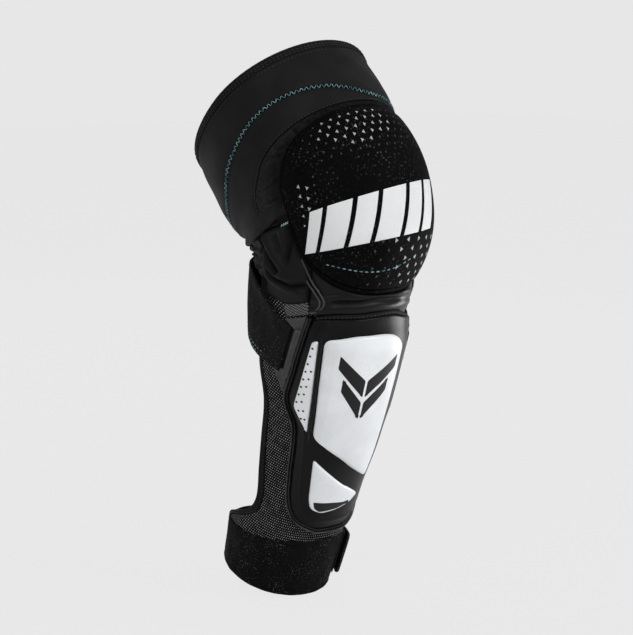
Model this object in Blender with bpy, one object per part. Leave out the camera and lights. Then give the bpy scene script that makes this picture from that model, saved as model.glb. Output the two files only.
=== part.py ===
"""Knee and shin guard: a domed knee cup, a plated shin shell, a thigh cuff and two closing straps.

Each piece is cut as a flat pattern and wrapped on one leg form. A pattern point is an angle round the
leg in degrees (0 at the front, positive towards -X) and a height along the leg in millimetres above
the ankle. A lift is a distance in millimetres off the leg's skin. The origin is
on the knee's bending axis, +Z is up and the front of the leg faces -Y.
"""

import math

import bmesh
import bpy
from mathutils import Matrix, Vector

MM = 0.001

# Heights along the leg, built up from the ankle
BAND_HEIGHT = 54.0
BAND_CREST = 4.0
BAND_RISE = 13.4
BAND_DROP = 5.0
BAND_TO_SHELL = 18.0
SHELL_HEIGHT = 218.0
GUSSET_HEIGHT = 16.0
CUP_HEIGHT = 106.0
ARCH_MARGIN = 8.0
SLEEVE_HEIGHT = 18.0
CUFF_HEIGHT = 46.0
HEM_RADIUS = 3.2
KNEE_ABOVE_SHELL = 55.0
PANEL_ABOVE_KNEE = 10.0
PANEL_BELOW_TOP = 6.0
BINDING_ABOVE_BAND = 2.0
BINDING_BELOW_STRAP = 3.0
REAR_GAP = 3.0

# Lean of the two leg segments and the length of the bend between them
SHIN_LEAN = 18.0
THIGH_LEAN = 41.0
BEND_LENGTH = 120.0

# Half angles covered round the leg, and how square their outlines are
CUP_HALF_ANGLE = 78.0
CUP_SQUARENESS = 2.6
ARCH_HALF_ANGLE = 104.0
ARCH_SQUARENESS = 3.2
GUSSET_HALF_ANGLE = 66.0
BAND_HIGH_ANGLE = 5.0
PAD_REAR_ANGLE = 112.0
WING_REAR_ANGLE = 112.0

# Wall thicknesses and soft fillings
CLEARANCE = 0.4
SEAM_GAP = 0.6
LINER_WALL = 1.5
SHIN_FOAM_EDGE = 2.0
SHIN_FOAM_CORE = 8.6
SHELL_WALL = 3.0
PLATE_WALL = 3.0
RIM_RADIUS = 2.2
CUP_FOAM_EDGE = 2.0
CUP_FOAM_CORE = 16.0
CUP_COVER_WALL = 2.6
CUP_PIPING_RADIUS = 1.6
MESH_WALL = 2.2
BINDING_WALL = 3.4
BINDING_WIDTH = 8.0
INNER_WING_WALL = 5.4
OUTER_WING_WALL = 2.6
SLEEVE_WALL = 3.2
SLEEVE_FOLD = 1.4
GUSSET_FOLDS = 3
REAR_FOLDS = 4
PAD_WALL = 3.0
PAD_CROWN = 6.0
CUFF_WALL = 4.2
GRIP_WALL = 1.2
GRIP_HEIGHT = 12.0
STRAP_WALL = 2.2
STRAP_TUCK = 3.0
STRAP_SLACK = 6.0
BAND_WALL = 3.4
PATCH_WALL = 1.0
HOOK_WALL = 0.8
TAB_WALL = 2.2
PLATE_CORNER = 5.0

# Calf strap and tabs
STRAP_SHARE_OF_SHELL = 0.66
STRAP_FRONT_HEIGHT = 48.0
STRAP_ABOVE_SHELL_TOP = 1.0
STRAP_RISE_ANGLES = (80.0, 135.0)
STRAP_SLACK_ANGLES = (98.0, 132.0, 160.0, 194.0)
STRAP_DROP_ANGLE = 195.0
STRAP_END_ANGLE = 232.0
SLOT_LOW_ANGLE = 84.0
SLOT_HIGH_ANGLE = 77.0
CALF_TAB_SPAN = 42.0
CALF_TAB_HEIGHT = 54.0
CALF_TAB_ABOVE_STRAP = 8.0
WING_BELOW_STRAP = 18.0
WING_ABOVE_SLOT = 19.0
ANKLE_STRAP_START = -164.0
ANKLE_TAB_ROOT = -122.0
ANKLE_TAB_SPAN = 82.0
ANKLE_TAB_HEIGHT = 48.0
ANKLE_TAB_LOW = 5.0
ANKLE_TAB_SLOPE = 8.0
TAB_CORNER = 9.0
HOOK_INSET = 4.0
ANKLE_PATCH_SETBACK = 8.0
ANKLE_HOOK_SETBACK = 20.0

# Heights that follow from the driving sizes
SHELL_LOW = BAND_HEIGHT + BAND_TO_SHELL
SHELL_TOP = SHELL_LOW + SHELL_HEIGHT
CUP_LOW = SHELL_TOP + GUSSET_HEIGHT
CUP_TOP = CUP_LOW + CUP_HEIGHT
CUP_MIDDLE = (CUP_LOW + CUP_TOP) / 2
ARCH_TOP = CUP_TOP + ARCH_MARGIN
CUFF_LOW = ARCH_TOP + SLEEVE_HEIGHT
CUFF_TOP = CUFF_LOW + CUFF_HEIGHT
RIM_HEIGHT = CUFF_TOP + 2 * HEM_RADIUS
KNEE_HEIGHT = SHELL_TOP + KNEE_ABOVE_SHELL
PANEL_LOW = KNEE_HEIGHT + PANEL_ABOVE_KNEE
STRAP_LOW = SHELL_LOW + STRAP_SHARE_OF_SHELL * SHELL_HEIGHT
SLOT_TOP = STRAP_LOW + STRAP_FRONT_HEIGHT
CALF_TAB_LOW = STRAP_LOW + CALF_TAB_ABOVE_STRAP
STRAP_LIFT = MESH_WALL + CLEARANCE
CALF_PATCH_LIFT = STRAP_LIFT + OUTER_WING_WALL + CLEARANCE
CALF_HOOK_LIFT = CALF_PATCH_LIFT + PATCH_WALL + CLEARANCE
CALF_TAB_LIFT = CALF_HOOK_LIFT + HOOK_WALL + CLEARANCE
ANKLE_PATCH_LIFT = BAND_WALL + CLEARANCE
ANKLE_HOOK_LIFT = ANKLE_PATCH_LIFT + PATCH_WALL + CLEARANCE
ANKLE_TAB_LIFT = ANKLE_HOOK_LIFT + HOOK_WALL + CLEARANCE

# Leg sections from the ankle to the thigh: height, half width, front, back, squareness of the front
SECTIONS = (
    (0.0, 46.5, 46.5, 53.5, 2.1),
    (BAND_HEIGHT, 47.5, 50.0, 61.0, 2.2),
    (SHELL_LOW + 0.22 * SHELL_HEIGHT, 48.0, 51.0, 58.0, 2.2),
    (SHELL_LOW + 0.54 * SHELL_HEIGHT, 51.0, 54.5, 63.0, 2.2),
    (SHELL_LOW + 0.82 * SHELL_HEIGHT, 57.0, 54.0, 84.0, 2.15),
    (SHELL_TOP + 10.0, 62.0, 54.0, 93.0, 2.1),
    (KNEE_HEIGHT, 67.0, 65.0, 98.0, 2.05),
    (CUP_TOP - 27.0, 73.0, 71.0, 104.0, 2.0),
    (CUFF_LOW - 8.0, 79.0, 80.0, 110.0, 2.0),
    (RIM_HEIGHT, 78.0, 78.0, 106.0, 2.0),
)

# Half angle of the shin shell's edge at shares of its height
SHELL_EDGE = (
    (0.0, 22.0),
    (0.03, 37.0),
    (0.10, 48.0),
    (0.21, 53.0),
    (0.40, 57.5),
    (0.47, 61.0),
    (0.54, 70.5),
    (0.585, 73.0),
    (0.69, 69.5),
    (0.79, 66.5),
    (0.955, 60.5),
)
SHELL_TOP_FLAT = 40.0

# Angle of the mesh side panels' rear edge at shares of the way from the ankle band to the strap
MESH_REAR = (
    (-0.09, 131.0),
    (-0.05, 121.0),
    (0.0, 107.0),
    (0.05, 94.0),
    (0.1, 85.5),
    (0.16, 81.5),
    (0.24, 81.5),
    (0.36, 85.5),
    (0.56, 91.0),
    (0.78, 97.0),
    (0.96, 113.0),
    (1.4, 110.0),
)

# Outlines of the plates: angle and share of the shin shell's height
MAIN_PLATE = (
    (42.5, 0.45), (45.5, 0.675), (47, 0.89), (23, 0.927), (0, 0.934), (-12.5, 0.922), (-21.5, 0.875),
    (-23.5, 0.74), (-21, 0.5), (-19.5, 0.247), (-5, 0.29), (15, 0.367),
)
SIDE_PLATE = ((48, 0.462), (64, 0.562), (57, 0.867), (51.5, 0.881))
LOWER_PLATE = (
    (37.5, 0.35), (22, 0.293), (5, 0.232), (-17.5, 0.165), (-9.5, 0.127), (4.5, 0.1), (19, 0.087),
    (29, 0.106), (32.5, 0.151),
)

# Cell sizes of the wrapped patterns
CELL_ANGLE = 10.0
CELL_HEIGHT = 18.0
CUP_CELL = (9.0, 12.0)
PAD_CELL = (5.5, 9.0)
CUP_OUTLINE_POINTS = 52
SHELL_SIDE_POINTS = 12


def remove_all_objects():
    """Empty the scene that the script starts in."""
    for item in list(bpy.data.objects):
        bpy.data.objects.remove(item, do_unlink=True)


def new_collection(name):
    """Make a collection and link it to the scene."""
    collection = bpy.data.collections.new(name)
    bpy.context.scene.collection.children.link(collection)
    return collection


def smooth_step(value):
    """Ease from 0 to 1 as the value goes from 0 to 1."""
    value = min(max(value, 0.0), 1.0)
    return value * value * (3.0 - 2.0 * value)


def smooth_lookup(table, place, column):
    """Read a column of a table of rows at a place, on a smooth curve through the rows."""
    rows = len(table)
    if place <= table[0][0]:
        return table[0][column]
    if place >= table[-1][0]:
        return table[-1][column]
    index = max(i for i in range(rows - 1) if table[i][0] <= place)

    def slope(i):
        before = max(i - 1, 0)
        after = min(i + 1, rows - 1)
        return (table[after][column] - table[before][column]) / (table[after][0] - table[before][0])

    step = table[index + 1][0] - table[index][0]
    t = (place - table[index][0]) / step
    start = table[index][column]
    finish = table[index + 1][column]
    return (
        start * (1 + 2 * t) * (1 - t) ** 2
        + slope(index) * step * t * (1 - t) ** 2
        + finish * t * t * (3 - 2 * t)
        + slope(index + 1) * step * t * t * (t - 1)
    )


def leg_axis(height):
    """Return the leg's centre in the YZ plane and its lean in radians at a height."""
    shin_lean = math.radians(SHIN_LEAN)
    thigh_lean = math.radians(-THIGH_LEAN)
    turn = shin_lean - thigh_lean
    radius = BEND_LENGTH / turn
    tangent = radius * math.tan(turn / 2)
    along = height - KNEE_HEIGHT
    half = BEND_LENGTH / 2
    if along <= -half:
        reach = tangent - along - half
        return reach * math.sin(shin_lean), -reach * math.cos(shin_lean), shin_lean
    if along >= half:
        reach = tangent + along - half
        return -reach * math.sin(thigh_lean), reach * math.cos(thigh_lean), thigh_lean
    lean = shin_lean - turn * (along + half) / BEND_LENGTH
    start_y = tangent * math.sin(shin_lean)
    start_z = -tangent * math.cos(shin_lean)
    return (
        start_y + radius * (math.cos(shin_lean) - math.cos(lean)),
        start_z + radius * (math.sin(shin_lean) - math.sin(lean)),
        lean,
    )


def wrap(angle, height, lift):
    """Return the point in metres at a pattern point, lifted off the leg's skin."""
    half_width, front, back, squareness = (smooth_lookup(SECTIONS, height, column) for column in (1, 2, 3, 4))
    turn = math.radians(angle)
    side = math.sin(turn)
    ahead = math.cos(turn)
    depth = front if ahead > 0 else back
    power = 2.0 / squareness if ahead > 0 else 1.0
    across = -half_width * math.copysign(abs(side) ** power, side)
    forward = depth * math.copysign(abs(ahead) ** power, ahead)
    normal_across = math.copysign(abs(across / half_width) ** (2 / power - 1), across) / half_width
    normal_forward = math.copysign(abs(forward / depth) ** (2 / power - 1), forward) / depth
    length = math.hypot(normal_across, normal_forward)
    across += lift * normal_across / length
    forward += lift * normal_forward / length
    centre_y, centre_z, lean = leg_axis(height)
    return Vector((
        across * MM,
        (centre_y - math.cos(lean) * forward) * MM,
        (centre_z - math.sin(lean) * forward) * MM,
    ))


def shell_edge(height):
    """Return the half angle of the shin shell's edge at a height."""
    return smooth_lookup(SHELL_EDGE, (height - SHELL_LOW) / SHELL_HEIGHT, 1)


def band_top(angle):
    """Return the height of the ankle band's upper edge, which rises towards the front."""
    return BAND_HEIGHT + BAND_CREST - BAND_RISE * (1 - math.cos(math.radians(angle - BAND_HIGH_ANGLE)))


def mesh_rear(height):
    """Return the angle of a mesh panel's rear edge at a height."""
    return smooth_lookup(MESH_REAR, (height - BAND_HEIGHT) / (STRAP_LOW - BAND_HEIGHT), 1)


def cup_reach(angle, height):
    """Return 0 at the middle of the knee cup and 1 on its edge."""
    across = abs(angle) / CUP_HALF_ANGLE
    along = abs(height - CUP_MIDDLE) / (CUP_HEIGHT / 2)
    return (across ** CUP_SQUARENESS + along ** CUP_SQUARENESS) ** (1 / CUP_SQUARENESS)


def cup_outline(grow, first=0.0, last=360.0, count=CUP_OUTLINE_POINTS):
    """Return points of the knee cup's edge, grown by a distance, between two turns about its middle."""
    points = []
    closed = last - first >= 360.0
    for index in range(count if closed else count + 1):
        turn = math.radians(first + (last - first) * index / count)
        across = math.copysign(abs(math.cos(turn)) ** (2 / CUP_SQUARENESS), math.cos(turn))
        along = math.copysign(abs(math.sin(turn)) ** (2 / CUP_SQUARENESS), math.sin(turn))
        points.append((
            across * (CUP_HALF_ANGLE + grow),
            CUP_MIDDLE + along * (CUP_HEIGHT / 2 + grow),
        ))
    return points


def shell_side(grow, low, high, count=SHELL_SIDE_POINTS):
    """Return points up one edge of the shin shell, grown by an angle."""
    heights = [low + (high - low) * index / count for index in range(count + 1)]
    return [(shell_edge(height) + grow, height) for height in heights]


def shell_corner():
    """Return the height where the shell's side edge turns into its top edge."""
    return SHELL_LOW + SHELL_EDGE[-1][0] * SHELL_HEIGHT


def mirrored(points):
    """Return a pattern turned over to the other side of the leg, in the same sense of turning."""
    return [(-angle, height) for angle, height in reversed(points)]


def rounded(points, radius, steps=4):
    """Return a closed outline with each corner replaced by an arc."""
    result = []
    count = len(points)
    for index in range(count):
        before = Vector(points[index - 1])
        corner = Vector(points[index])
        after = Vector(points[(index + 1) % count])
        inward = (before - corner).normalized()
        outward = (after - corner).normalized()
        bend = math.acos(max(-1.0, min(1.0, inward.dot(outward))))
        reach = radius / math.tan(bend / 2)
        limit = 0.45 * min((before - corner).length, (after - corner).length)
        reach = min(reach, limit)
        if math.pi - bend < 0.05:
            result.append(tuple(corner))
            continue
        start = corner + inward * reach
        finish = corner + outward * reach
        for step in range(steps + 1):
            t = step / steps
            point = start * (1 - t) ** 2 + corner * 2 * t * (1 - t) + finish * t * t
            result.append(tuple(point))
    return result


def offset_path(points, distance):
    """Return an open path moved sideways by a distance, to the right of its direction."""
    moved = []
    for index, point in enumerate(points):
        before = Vector(points[max(index - 1, 0)])
        after = Vector(points[min(index + 1, len(points) - 1)])
        along = (after - before).normalized()
        moved.append((point[0] + along[1] * distance, point[1] - along[0] * distance))
    return moved


def divided(points, step):
    """Return an open path with points added so that none of its spans is longer than a step."""
    result = [points[0]]
    for start, finish in zip(points, points[1:]):
        parts = max(1, math.ceil(math.dist(start, finish) / step))
        for index in range(1, parts + 1):
            t = index / parts
            result.append((start[0] + (finish[0] - start[0]) * t, start[1] + (finish[1] - start[1]) * t))
    return result


def constant(value):
    """Return a lift that is the same everywhere."""
    return lambda angle, height: value


def finish_mesh(bm, name, finish, collection):
    """Turn a bmesh into a named object with a finish."""
    bmesh.ops.recalc_face_normals(bm, faces=bm.faces[:])
    mesh = bpy.data.meshes.new(name)
    bm.to_mesh(mesh)
    bm.free()
    mesh.shade_smooth()
    mesh.set_sharp_from_angle(angle=math.radians(40))
    mesh.materials.append(finish)
    item = bpy.data.objects.new(name, mesh)
    collection.objects.link(item)
    return item


def cut_lines(low, high, step):
    """Return the multiples of a step that lie between two values."""
    first = math.ceil(low / step + 1e-6)
    last = math.floor(high / step - 1e-6)
    return [index * step for index in range(first, last + 1)]


def wrapped_slab(name, outline, inner, outer, finish, collection, cell=None, extra_cuts=()):
    """Cut a flat outline into cells, wrap it on the leg and give it a wall between two lifts."""
    cell_angle, cell_height = cell or (CELL_ANGLE, CELL_HEIGHT)
    bm = bmesh.new()
    verts = [bm.verts.new((angle, height, 0.0)) for angle, height in outline]
    edges = [bm.edges.new((verts[i - 1], verts[i])) for i in range(len(verts))]
    bmesh.ops.edgeloop_fill(bm, edges=edges)
    angles = [point[0] for point in outline]
    heights = [point[1] for point in outline]
    cuts = [((a, 0, 0), (1, 0, 0)) for a in cut_lines(min(angles), max(angles), cell_angle)]
    cuts += list(extra_cuts)
    cuts += [((0, h, 0), (0, 1, 0)) for h in cut_lines(min(heights), max(heights), cell_height)]
    for place, normal in cuts:
        geometry = bm.verts[:] + bm.edges[:] + bm.faces[:]
        bmesh.ops.bisect_plane(bm, geom=geometry, dist=1e-4, plane_co=place, plane_no=normal)
    angle_layer = bm.verts.layers.float.new("angle")
    height_layer = bm.verts.layers.float.new("height")
    for vert in bm.verts:
        vert[angle_layer] = vert.co.x
        vert[height_layer] = vert.co.y
        vert.co = wrap(vert.co.x, vert.co.y, inner(vert.co.x, vert.co.y))
    bmesh.ops.remove_doubles(bm, verts=bm.verts[:], dist=1e-6)
    raised = bmesh.ops.extrude_face_region(bm, geom=bm.faces[:], use_keep_orig=True)
    for vert in (part for part in raised["geom"] if isinstance(part, bmesh.types.BMVert)):
        angle = vert[angle_layer]
        height = vert[height_layer]
        vert.co = wrap(angle, height, outer(angle, height))
    return finish_mesh(bm, name, finish, collection)


def ring_outline(low, high):
    """Return the outline of a band that goes right round the leg, from two edge functions."""
    stations = [-180.0 + CELL_ANGLE * index for index in range(int(360 / CELL_ANGLE) + 1)]
    lower = [(angle, low(angle)) for angle in stations]
    upper = [(angle, high(angle)) for angle in reversed(stations)]
    return lower + upper


def tube(name, points, lift, radius, finish, collection, closed=False):
    """Lay a round tube along a path of pattern points."""
    curve = bpy.data.curves.new(name, "CURVE")
    curve.dimensions = "3D"
    curve.bevel_depth = radius * MM
    curve.bevel_resolution = 1
    curve.use_fill_caps = True
    spline = curve.splines.new("POLY")
    spline.points.add(len(points) - 1)
    for item, (angle, height) in zip(spline.points, points):
        item.co = (*wrap(angle, height, lift(angle, height)), 1.0)
    spline.use_cyclic_u = closed
    curve.materials.append(finish)
    item = bpy.data.objects.new(name, curve)
    collection.objects.link(item)
    return item


def finish_material(name, colour, roughness):
    """Make a plain finish."""
    material = bpy.data.materials.new(name)
    material.use_nodes = True
    shader = material.node_tree.nodes["Principled BSDF"]
    shader.inputs["Base Color"].default_value = (*colour, 1.0)
    shader.inputs["Roughness"].default_value = roughness
    shader.inputs["Metallic"].default_value = 0.0
    return material


# Lifts of the shin's layers
def shin_filling(angle, height):
    """Return the thickness of the shin foam, which thins out towards its edges."""
    across = min(abs(angle) / shell_edge(height), 1.0)
    along = (height - SHELL_LOW) / SHELL_HEIGHT
    crown = (1 - across ** 4) * smooth_step(along / 0.4) * (0.3 + 0.7 * smooth_step((1 - along) / 0.14))
    return SHIN_FOAM_EDGE + (SHIN_FOAM_CORE - SHIN_FOAM_EDGE) * crown


def shin_foam_inner(angle, height):
    """Return the lift of the foam's inner face."""
    return LINER_WALL + CLEARANCE


def shin_foam_outer(angle, height):
    """Return the lift of the foam's outer face."""
    return shin_foam_inner(angle, height) + shin_filling(angle, height)


def shell_inner(angle, height):
    """Return the lift of the shell's inner face."""
    return shin_foam_outer(angle, height) + CLEARANCE


def shell_outer(angle, height):
    """Return the lift of the shell's outer face."""
    return shell_inner(angle, height) + SHELL_WALL


def plate_inner(angle, height):
    """Return the lift of a plate's inner face."""
    return shell_outer(angle, height) + CLEARANCE


def plate_outer(angle, height):
    """Return the lift of a plate's outer face."""
    return plate_inner(angle, height) + PLATE_WALL


# Lifts of the knee cup's layers
def cup_foam_inner(angle, height):
    """Return the lift of the cup foam's inner face."""
    return LINER_WALL + CLEARANCE


def cup_foam_outer(angle, height):
    """Return the lift of the cup foam's crowned outer face."""
    crown = 1 - min(cup_reach(angle, height), 1.0) ** 2.4
    return cup_foam_inner(angle, height) + CUP_FOAM_EDGE + (CUP_FOAM_CORE - CUP_FOAM_EDGE) * crown


def cup_cover_inner(angle, height):
    """Return the lift of the cup cover's inner face."""
    return cup_foam_outer(angle, height) + CLEARANCE


def cup_cover_outer(angle, height):
    """Return the lift of the cup cover's outer face."""
    return cup_cover_inner(angle, height) + CUP_COVER_WALL


def build_shin(collection, finishes):
    """Build the liner, foam, shell, rim and plates of the shin."""
    corner = shell_corner()
    side = shell_side(0.0, SHELL_LOW, corner)
    outline = side + [(SHELL_TOP_FLAT, SHELL_TOP), (-SHELL_TOP_FLAT, SHELL_TOP)] + mirrored(side)
    wrapped_slab("shin_liner", outline, constant(0.0), constant(LINER_WALL), finishes["liner"], collection)
    wrapped_slab("shin_foam", outline, shin_foam_inner, shin_foam_outer, finishes["foam"], collection)
    wrapped_slab("shin_shell", outline, shell_inner, shell_outer, finishes["shell"], collection)
    path = divided(mirrored(side) + side, CELL_ANGLE)
    rim_reach = RIM_RADIUS + SEAM_GAP
    rim_lift = LINER_WALL + 2 * CLEARANCE + SHIN_FOAM_EDGE + SHELL_WALL / 2
    tube("shin_rim", offset_path(path, rim_reach), constant(rim_lift), RIM_RADIUS, finishes["rim"], collection)
    for name, plate in shin_plates().items():
        wrapped_slab(name, rounded(plate, PLATE_CORNER), plate_inner, plate_outer, finishes["plate"], collection)


def shin_plates():
    """Return the outlines of the plates on the shin shell, by name."""
    main, side, lower = (
        [(angle, SHELL_LOW + share * SHELL_HEIGHT) for angle, share in plate]
        for plate in (MAIN_PLATE, SIDE_PLATE, LOWER_PLATE)
    )
    return {
        "main_plate": main,
        "side_plate_inner": side,
        "side_plate_outer": mirrored(side),
        "lower_plate": lower,
    }


def slot_angle(height):
    """Return the angle of the inner wing's strap slot at a height."""
    share = (height - STRAP_LOW) / STRAP_FRONT_HEIGHT
    return SLOT_LOW_ANGLE + (SLOT_HIGH_ANGLE - SLOT_LOW_ANGLE) * share


def strap_top(angle):
    """Return the height of the calf strap's upper edge at an angle from the slot round the back."""
    rise = smooth_step((angle - STRAP_RISE_ANGLES[0]) / (STRAP_RISE_ANGLES[1] - STRAP_RISE_ANGLES[0]))
    rear = SLOT_TOP + (SHELL_TOP + STRAP_ABOVE_SHELL_TOP - SLOT_TOP) * rise
    return rear + (CALF_TAB_LOW + CALF_TAB_HEIGHT - rear) * strap_drop(angle)


def strap_drop(angle):
    """Return 0 on the rear of the calf strap, easing to 1 where it narrows to its tab."""
    return smooth_step((angle - STRAP_DROP_ANGLE) / (STRAP_END_ANGLE - STRAP_DROP_ANGLE))


def strap_bottom(angle):
    """Return the height of the calf strap's lower edge at an angle."""
    return STRAP_LOW + CALF_TAB_ABOVE_STRAP * strap_drop(angle)


def strap_lift(angle, height):
    """Return the lift of the calf strap, which hangs slack at the rear and climbs to the tab at its far end."""
    climb_end = STRAP_END_ANGLE - HOOK_INSET
    climb = smooth_step((angle - STRAP_DROP_ANGLE) / (climb_end - STRAP_DROP_ANGLE))
    leave, slack, tight, meet = STRAP_SLACK_ANGLES
    loose = smooth_step((angle - leave) / (slack - leave)) * smooth_step((meet - angle) / (meet - tight))
    return STRAP_LIFT + STRAP_SLACK * loose + (CALF_TAB_LIFT - STRAP_LIFT) * climb


def strap_outer(angle, height):
    """Return the lift of the calf strap's outer face."""
    return strap_lift(angle, height) + STRAP_WALL


def rear_heights(side):
    """Return heights up the bound stretch of a mesh panel's rear edge."""
    low = max(band_top(side * 115.0), band_top(side * 135.0)) + BINDING_ABOVE_BAND
    high = STRAP_LOW - BINDING_BELOW_STRAP
    return [low + (high - low) * index / 12 for index in range(13)]


def mesh_outline(side):
    """Return the outline of a mesh side panel, for side 1 (towards -X) or -1."""
    bound = rear_heights(side)
    foot_angles = (0.4, 20, 40, 60, 80, 100, mesh_rear(bound[0]))
    bottom = [(angle, band_top(side * angle) + SEAM_GAP) for angle in foot_angles]
    tucked = [bound[-1] + share * (SHELL_TOP - 12.0 - bound[-1]) for share in (0.3, 0.65, 1.0)]
    rear = [(mesh_rear(height), height) for height in bound + tucked]
    top_front = GUSSET_HALF_ANGLE + 2 * SEAM_GAP
    top = [(PAD_REAR_ANGLE, panel_top()), (top_front, panel_top()), (top_front, shell_corner() + 2.0)]
    front = list(reversed(shell_side(SEAM_GAP, SHELL_LOW, shell_corner())))
    foot = [(front[-1][0], SHELL_LOW - SEAM_GAP), (0.4, SHELL_LOW - SEAM_GAP)]
    points = bottom + rear + top + front + foot
    return points if side > 0 else mirrored(points)


def binding_outline(side):
    """Return the outline of the binding along a mesh panel's rear edge."""
    front = [(mesh_rear(height) + SEAM_GAP, height) for height in rear_heights(side)]
    rear = [(angle + BINDING_WIDTH, height) for angle, height in reversed(front)]
    points = front + rear
    return points if side > 0 else mirrored(points)


def panel_top():
    """Return the height of the mesh side panels' upper edge."""
    return SHELL_TOP - PANEL_BELOW_TOP


def wing_front(low, high):
    """Return points up a strap wing's front edge, just outside the shell's rim."""
    return shell_side(2 * RIM_RADIUS + 2 * SEAM_GAP, low, high, 6)


def build_sides(collection, finishes):
    """Build the mesh side panels, their bindings and the strap wings."""
    for side, word in ((1, "inner"), (-1, "outer")):
        wrapped_slab(f"mesh_panel_{word}", mesh_outline(side), constant(0.0), constant(MESH_WALL),
                     finishes["mesh"], collection)
        wrapped_slab(f"panel_binding_{word}", binding_outline(side), constant(0.0), constant(BINDING_WALL),
                     finishes["binding"], collection)
    wing_low = STRAP_LOW - WING_BELOW_STRAP
    wing_top = SLOT_TOP + WING_ABOVE_SLOT
    inner = wing_front(wing_low, wing_top)
    inner += [(slot_angle(SLOT_TOP) + 1.0, SLOT_TOP + 2.0), (slot_angle(STRAP_LOW) + 0.6, STRAP_LOW - 2.0)]
    run = Vector((slot_angle(SLOT_TOP) - slot_angle(STRAP_LOW), STRAP_FRONT_HEIGHT, 0.0))
    across = Vector((run.y, -run.x, 0.0)).normalized()
    tuck_end = STRAP_TUCK + SEAM_GAP
    step = 0.4
    cuts = [((slot_angle(STRAP_LOW) - tuck_end - shift, STRAP_LOW, 0.0), across) for shift in (0.0, step)]

    def wing_inner(angle, height):
        under_lip = slot_angle(height) - angle < tuck_end + step / 2
        return STRAP_LIFT + STRAP_WALL + CLEARANCE if under_lip else STRAP_LIFT

    wrapped_slab("strap_wing_inner", inner, wing_inner, constant(STRAP_LIFT + INNER_WING_WALL),
                 finishes["wing"], collection, extra_cuts=cuts)
    outer = wing_front(wing_low, wing_top) + [(WING_REAR_ANGLE, SLOT_TOP + 4.0), (WING_REAR_ANGLE, STRAP_LOW)]
    wrapped_slab("strap_wing_outer", mirrored(outer), constant(STRAP_LIFT),
                 constant(STRAP_LIFT + OUTER_WING_WALL), finishes["wing"], collection)


def build_calf_strap(collection, finishes):
    """Build the calf strap, its closing tab and its loop patch, and return the tab's pieces."""
    angles = [96.0 + 8.0 * index for index in range(int((STRAP_END_ANGLE - 96.0) / 8.0) + 1)]
    if STRAP_END_ANGLE - angles[-1] < 2.0:
        angles.pop()
    angles.append(STRAP_END_ANGLE)
    lower = [(slot_angle(STRAP_LOW) - STRAP_TUCK, STRAP_LOW)] + [(a, strap_bottom(a)) for a in angles]
    upper = [(a, strap_top(a)) for a in reversed(angles)] + [(slot_angle(SLOT_TOP) - STRAP_TUCK, SLOT_TOP)]
    wrapped_slab("calf_strap", lower + upper, strap_lift, strap_outer, finishes["elastic"], collection)
    root = STRAP_END_ANGLE - 360.0 + SEAM_GAP
    end = root + CALF_TAB_SPAN
    low = CALF_TAB_LOW
    high = low + CALF_TAB_HEIGHT
    tab = square_root_end(root, end, low, high, TAB_CORNER)
    tab_piece = wrapped_slab("calf_tab", tab, constant(CALF_TAB_LIFT), constant(CALF_TAB_LIFT + TAB_WALL),
                             finishes["tab"], collection)
    inset = HOOK_INSET
    patch_rear = -WING_REAR_ANGLE + inset / 2
    pad_rear = patch_rear + inset / 2
    pad = rounded([(pad_rear, low + inset), (end - inset, low + inset), (end - inset, high - inset),
                   (pad_rear, high - inset)], TAB_CORNER - inset)
    hook = wrapped_slab("calf_hook_pad", pad, constant(CALF_HOOK_LIFT), constant(CALF_HOOK_LIFT + HOOK_WALL),
                        finishes["hook"], collection)
    patch = rounded([(patch_rear, low), (end, low), (end, high), (patch_rear, high)], TAB_CORNER - inset)
    wrapped_slab("calf_loop_patch", patch, constant(CALF_PATCH_LIFT), constant(CALF_PATCH_LIFT + PATCH_WALL),
                 finishes["loop"], collection)
    return [tab_piece, hook], fold_line(root - SEAM_GAP / 2, low, high, CALF_TAB_LIFT + TAB_WALL)


def square_root_end(root, end, low, high, corner):
    """Return a tab's outline: square at its root, with round corners at its free end."""
    outline = rounded([(root, low), (end, low), (end, high), (root, high)], corner)
    middle = (root + end) / 2
    return [(root, low)] + [point for point in outline if point[0] > middle] + [(root, high)]


def fold_line(angle, low, high, lift):
    """Return a point on a tab's fold line and the line's direction."""
    start = wrap(angle, low, lift)
    finish = wrap(angle, high, lift)
    return (start + finish) / 2, (finish - start).normalized()


def on_band(points):
    """Slope points of the ankle tab, at heights above its lower edge, with the band that it closes."""
    length = ANKLE_TAB_ROOT + ANKLE_TAB_SPAN - ANKLE_STRAP_START
    placed = []
    for angle, height in points:
        low = ANKLE_TAB_LOW - ANKLE_TAB_SLOPE * (1 - (angle - ANKLE_STRAP_START) / length)
        high = band_top(angle) - BINDING_ABOVE_BAND
        placed.append((angle, low + height / ANKLE_TAB_HEIGHT * (high - low)))
    return placed


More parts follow.
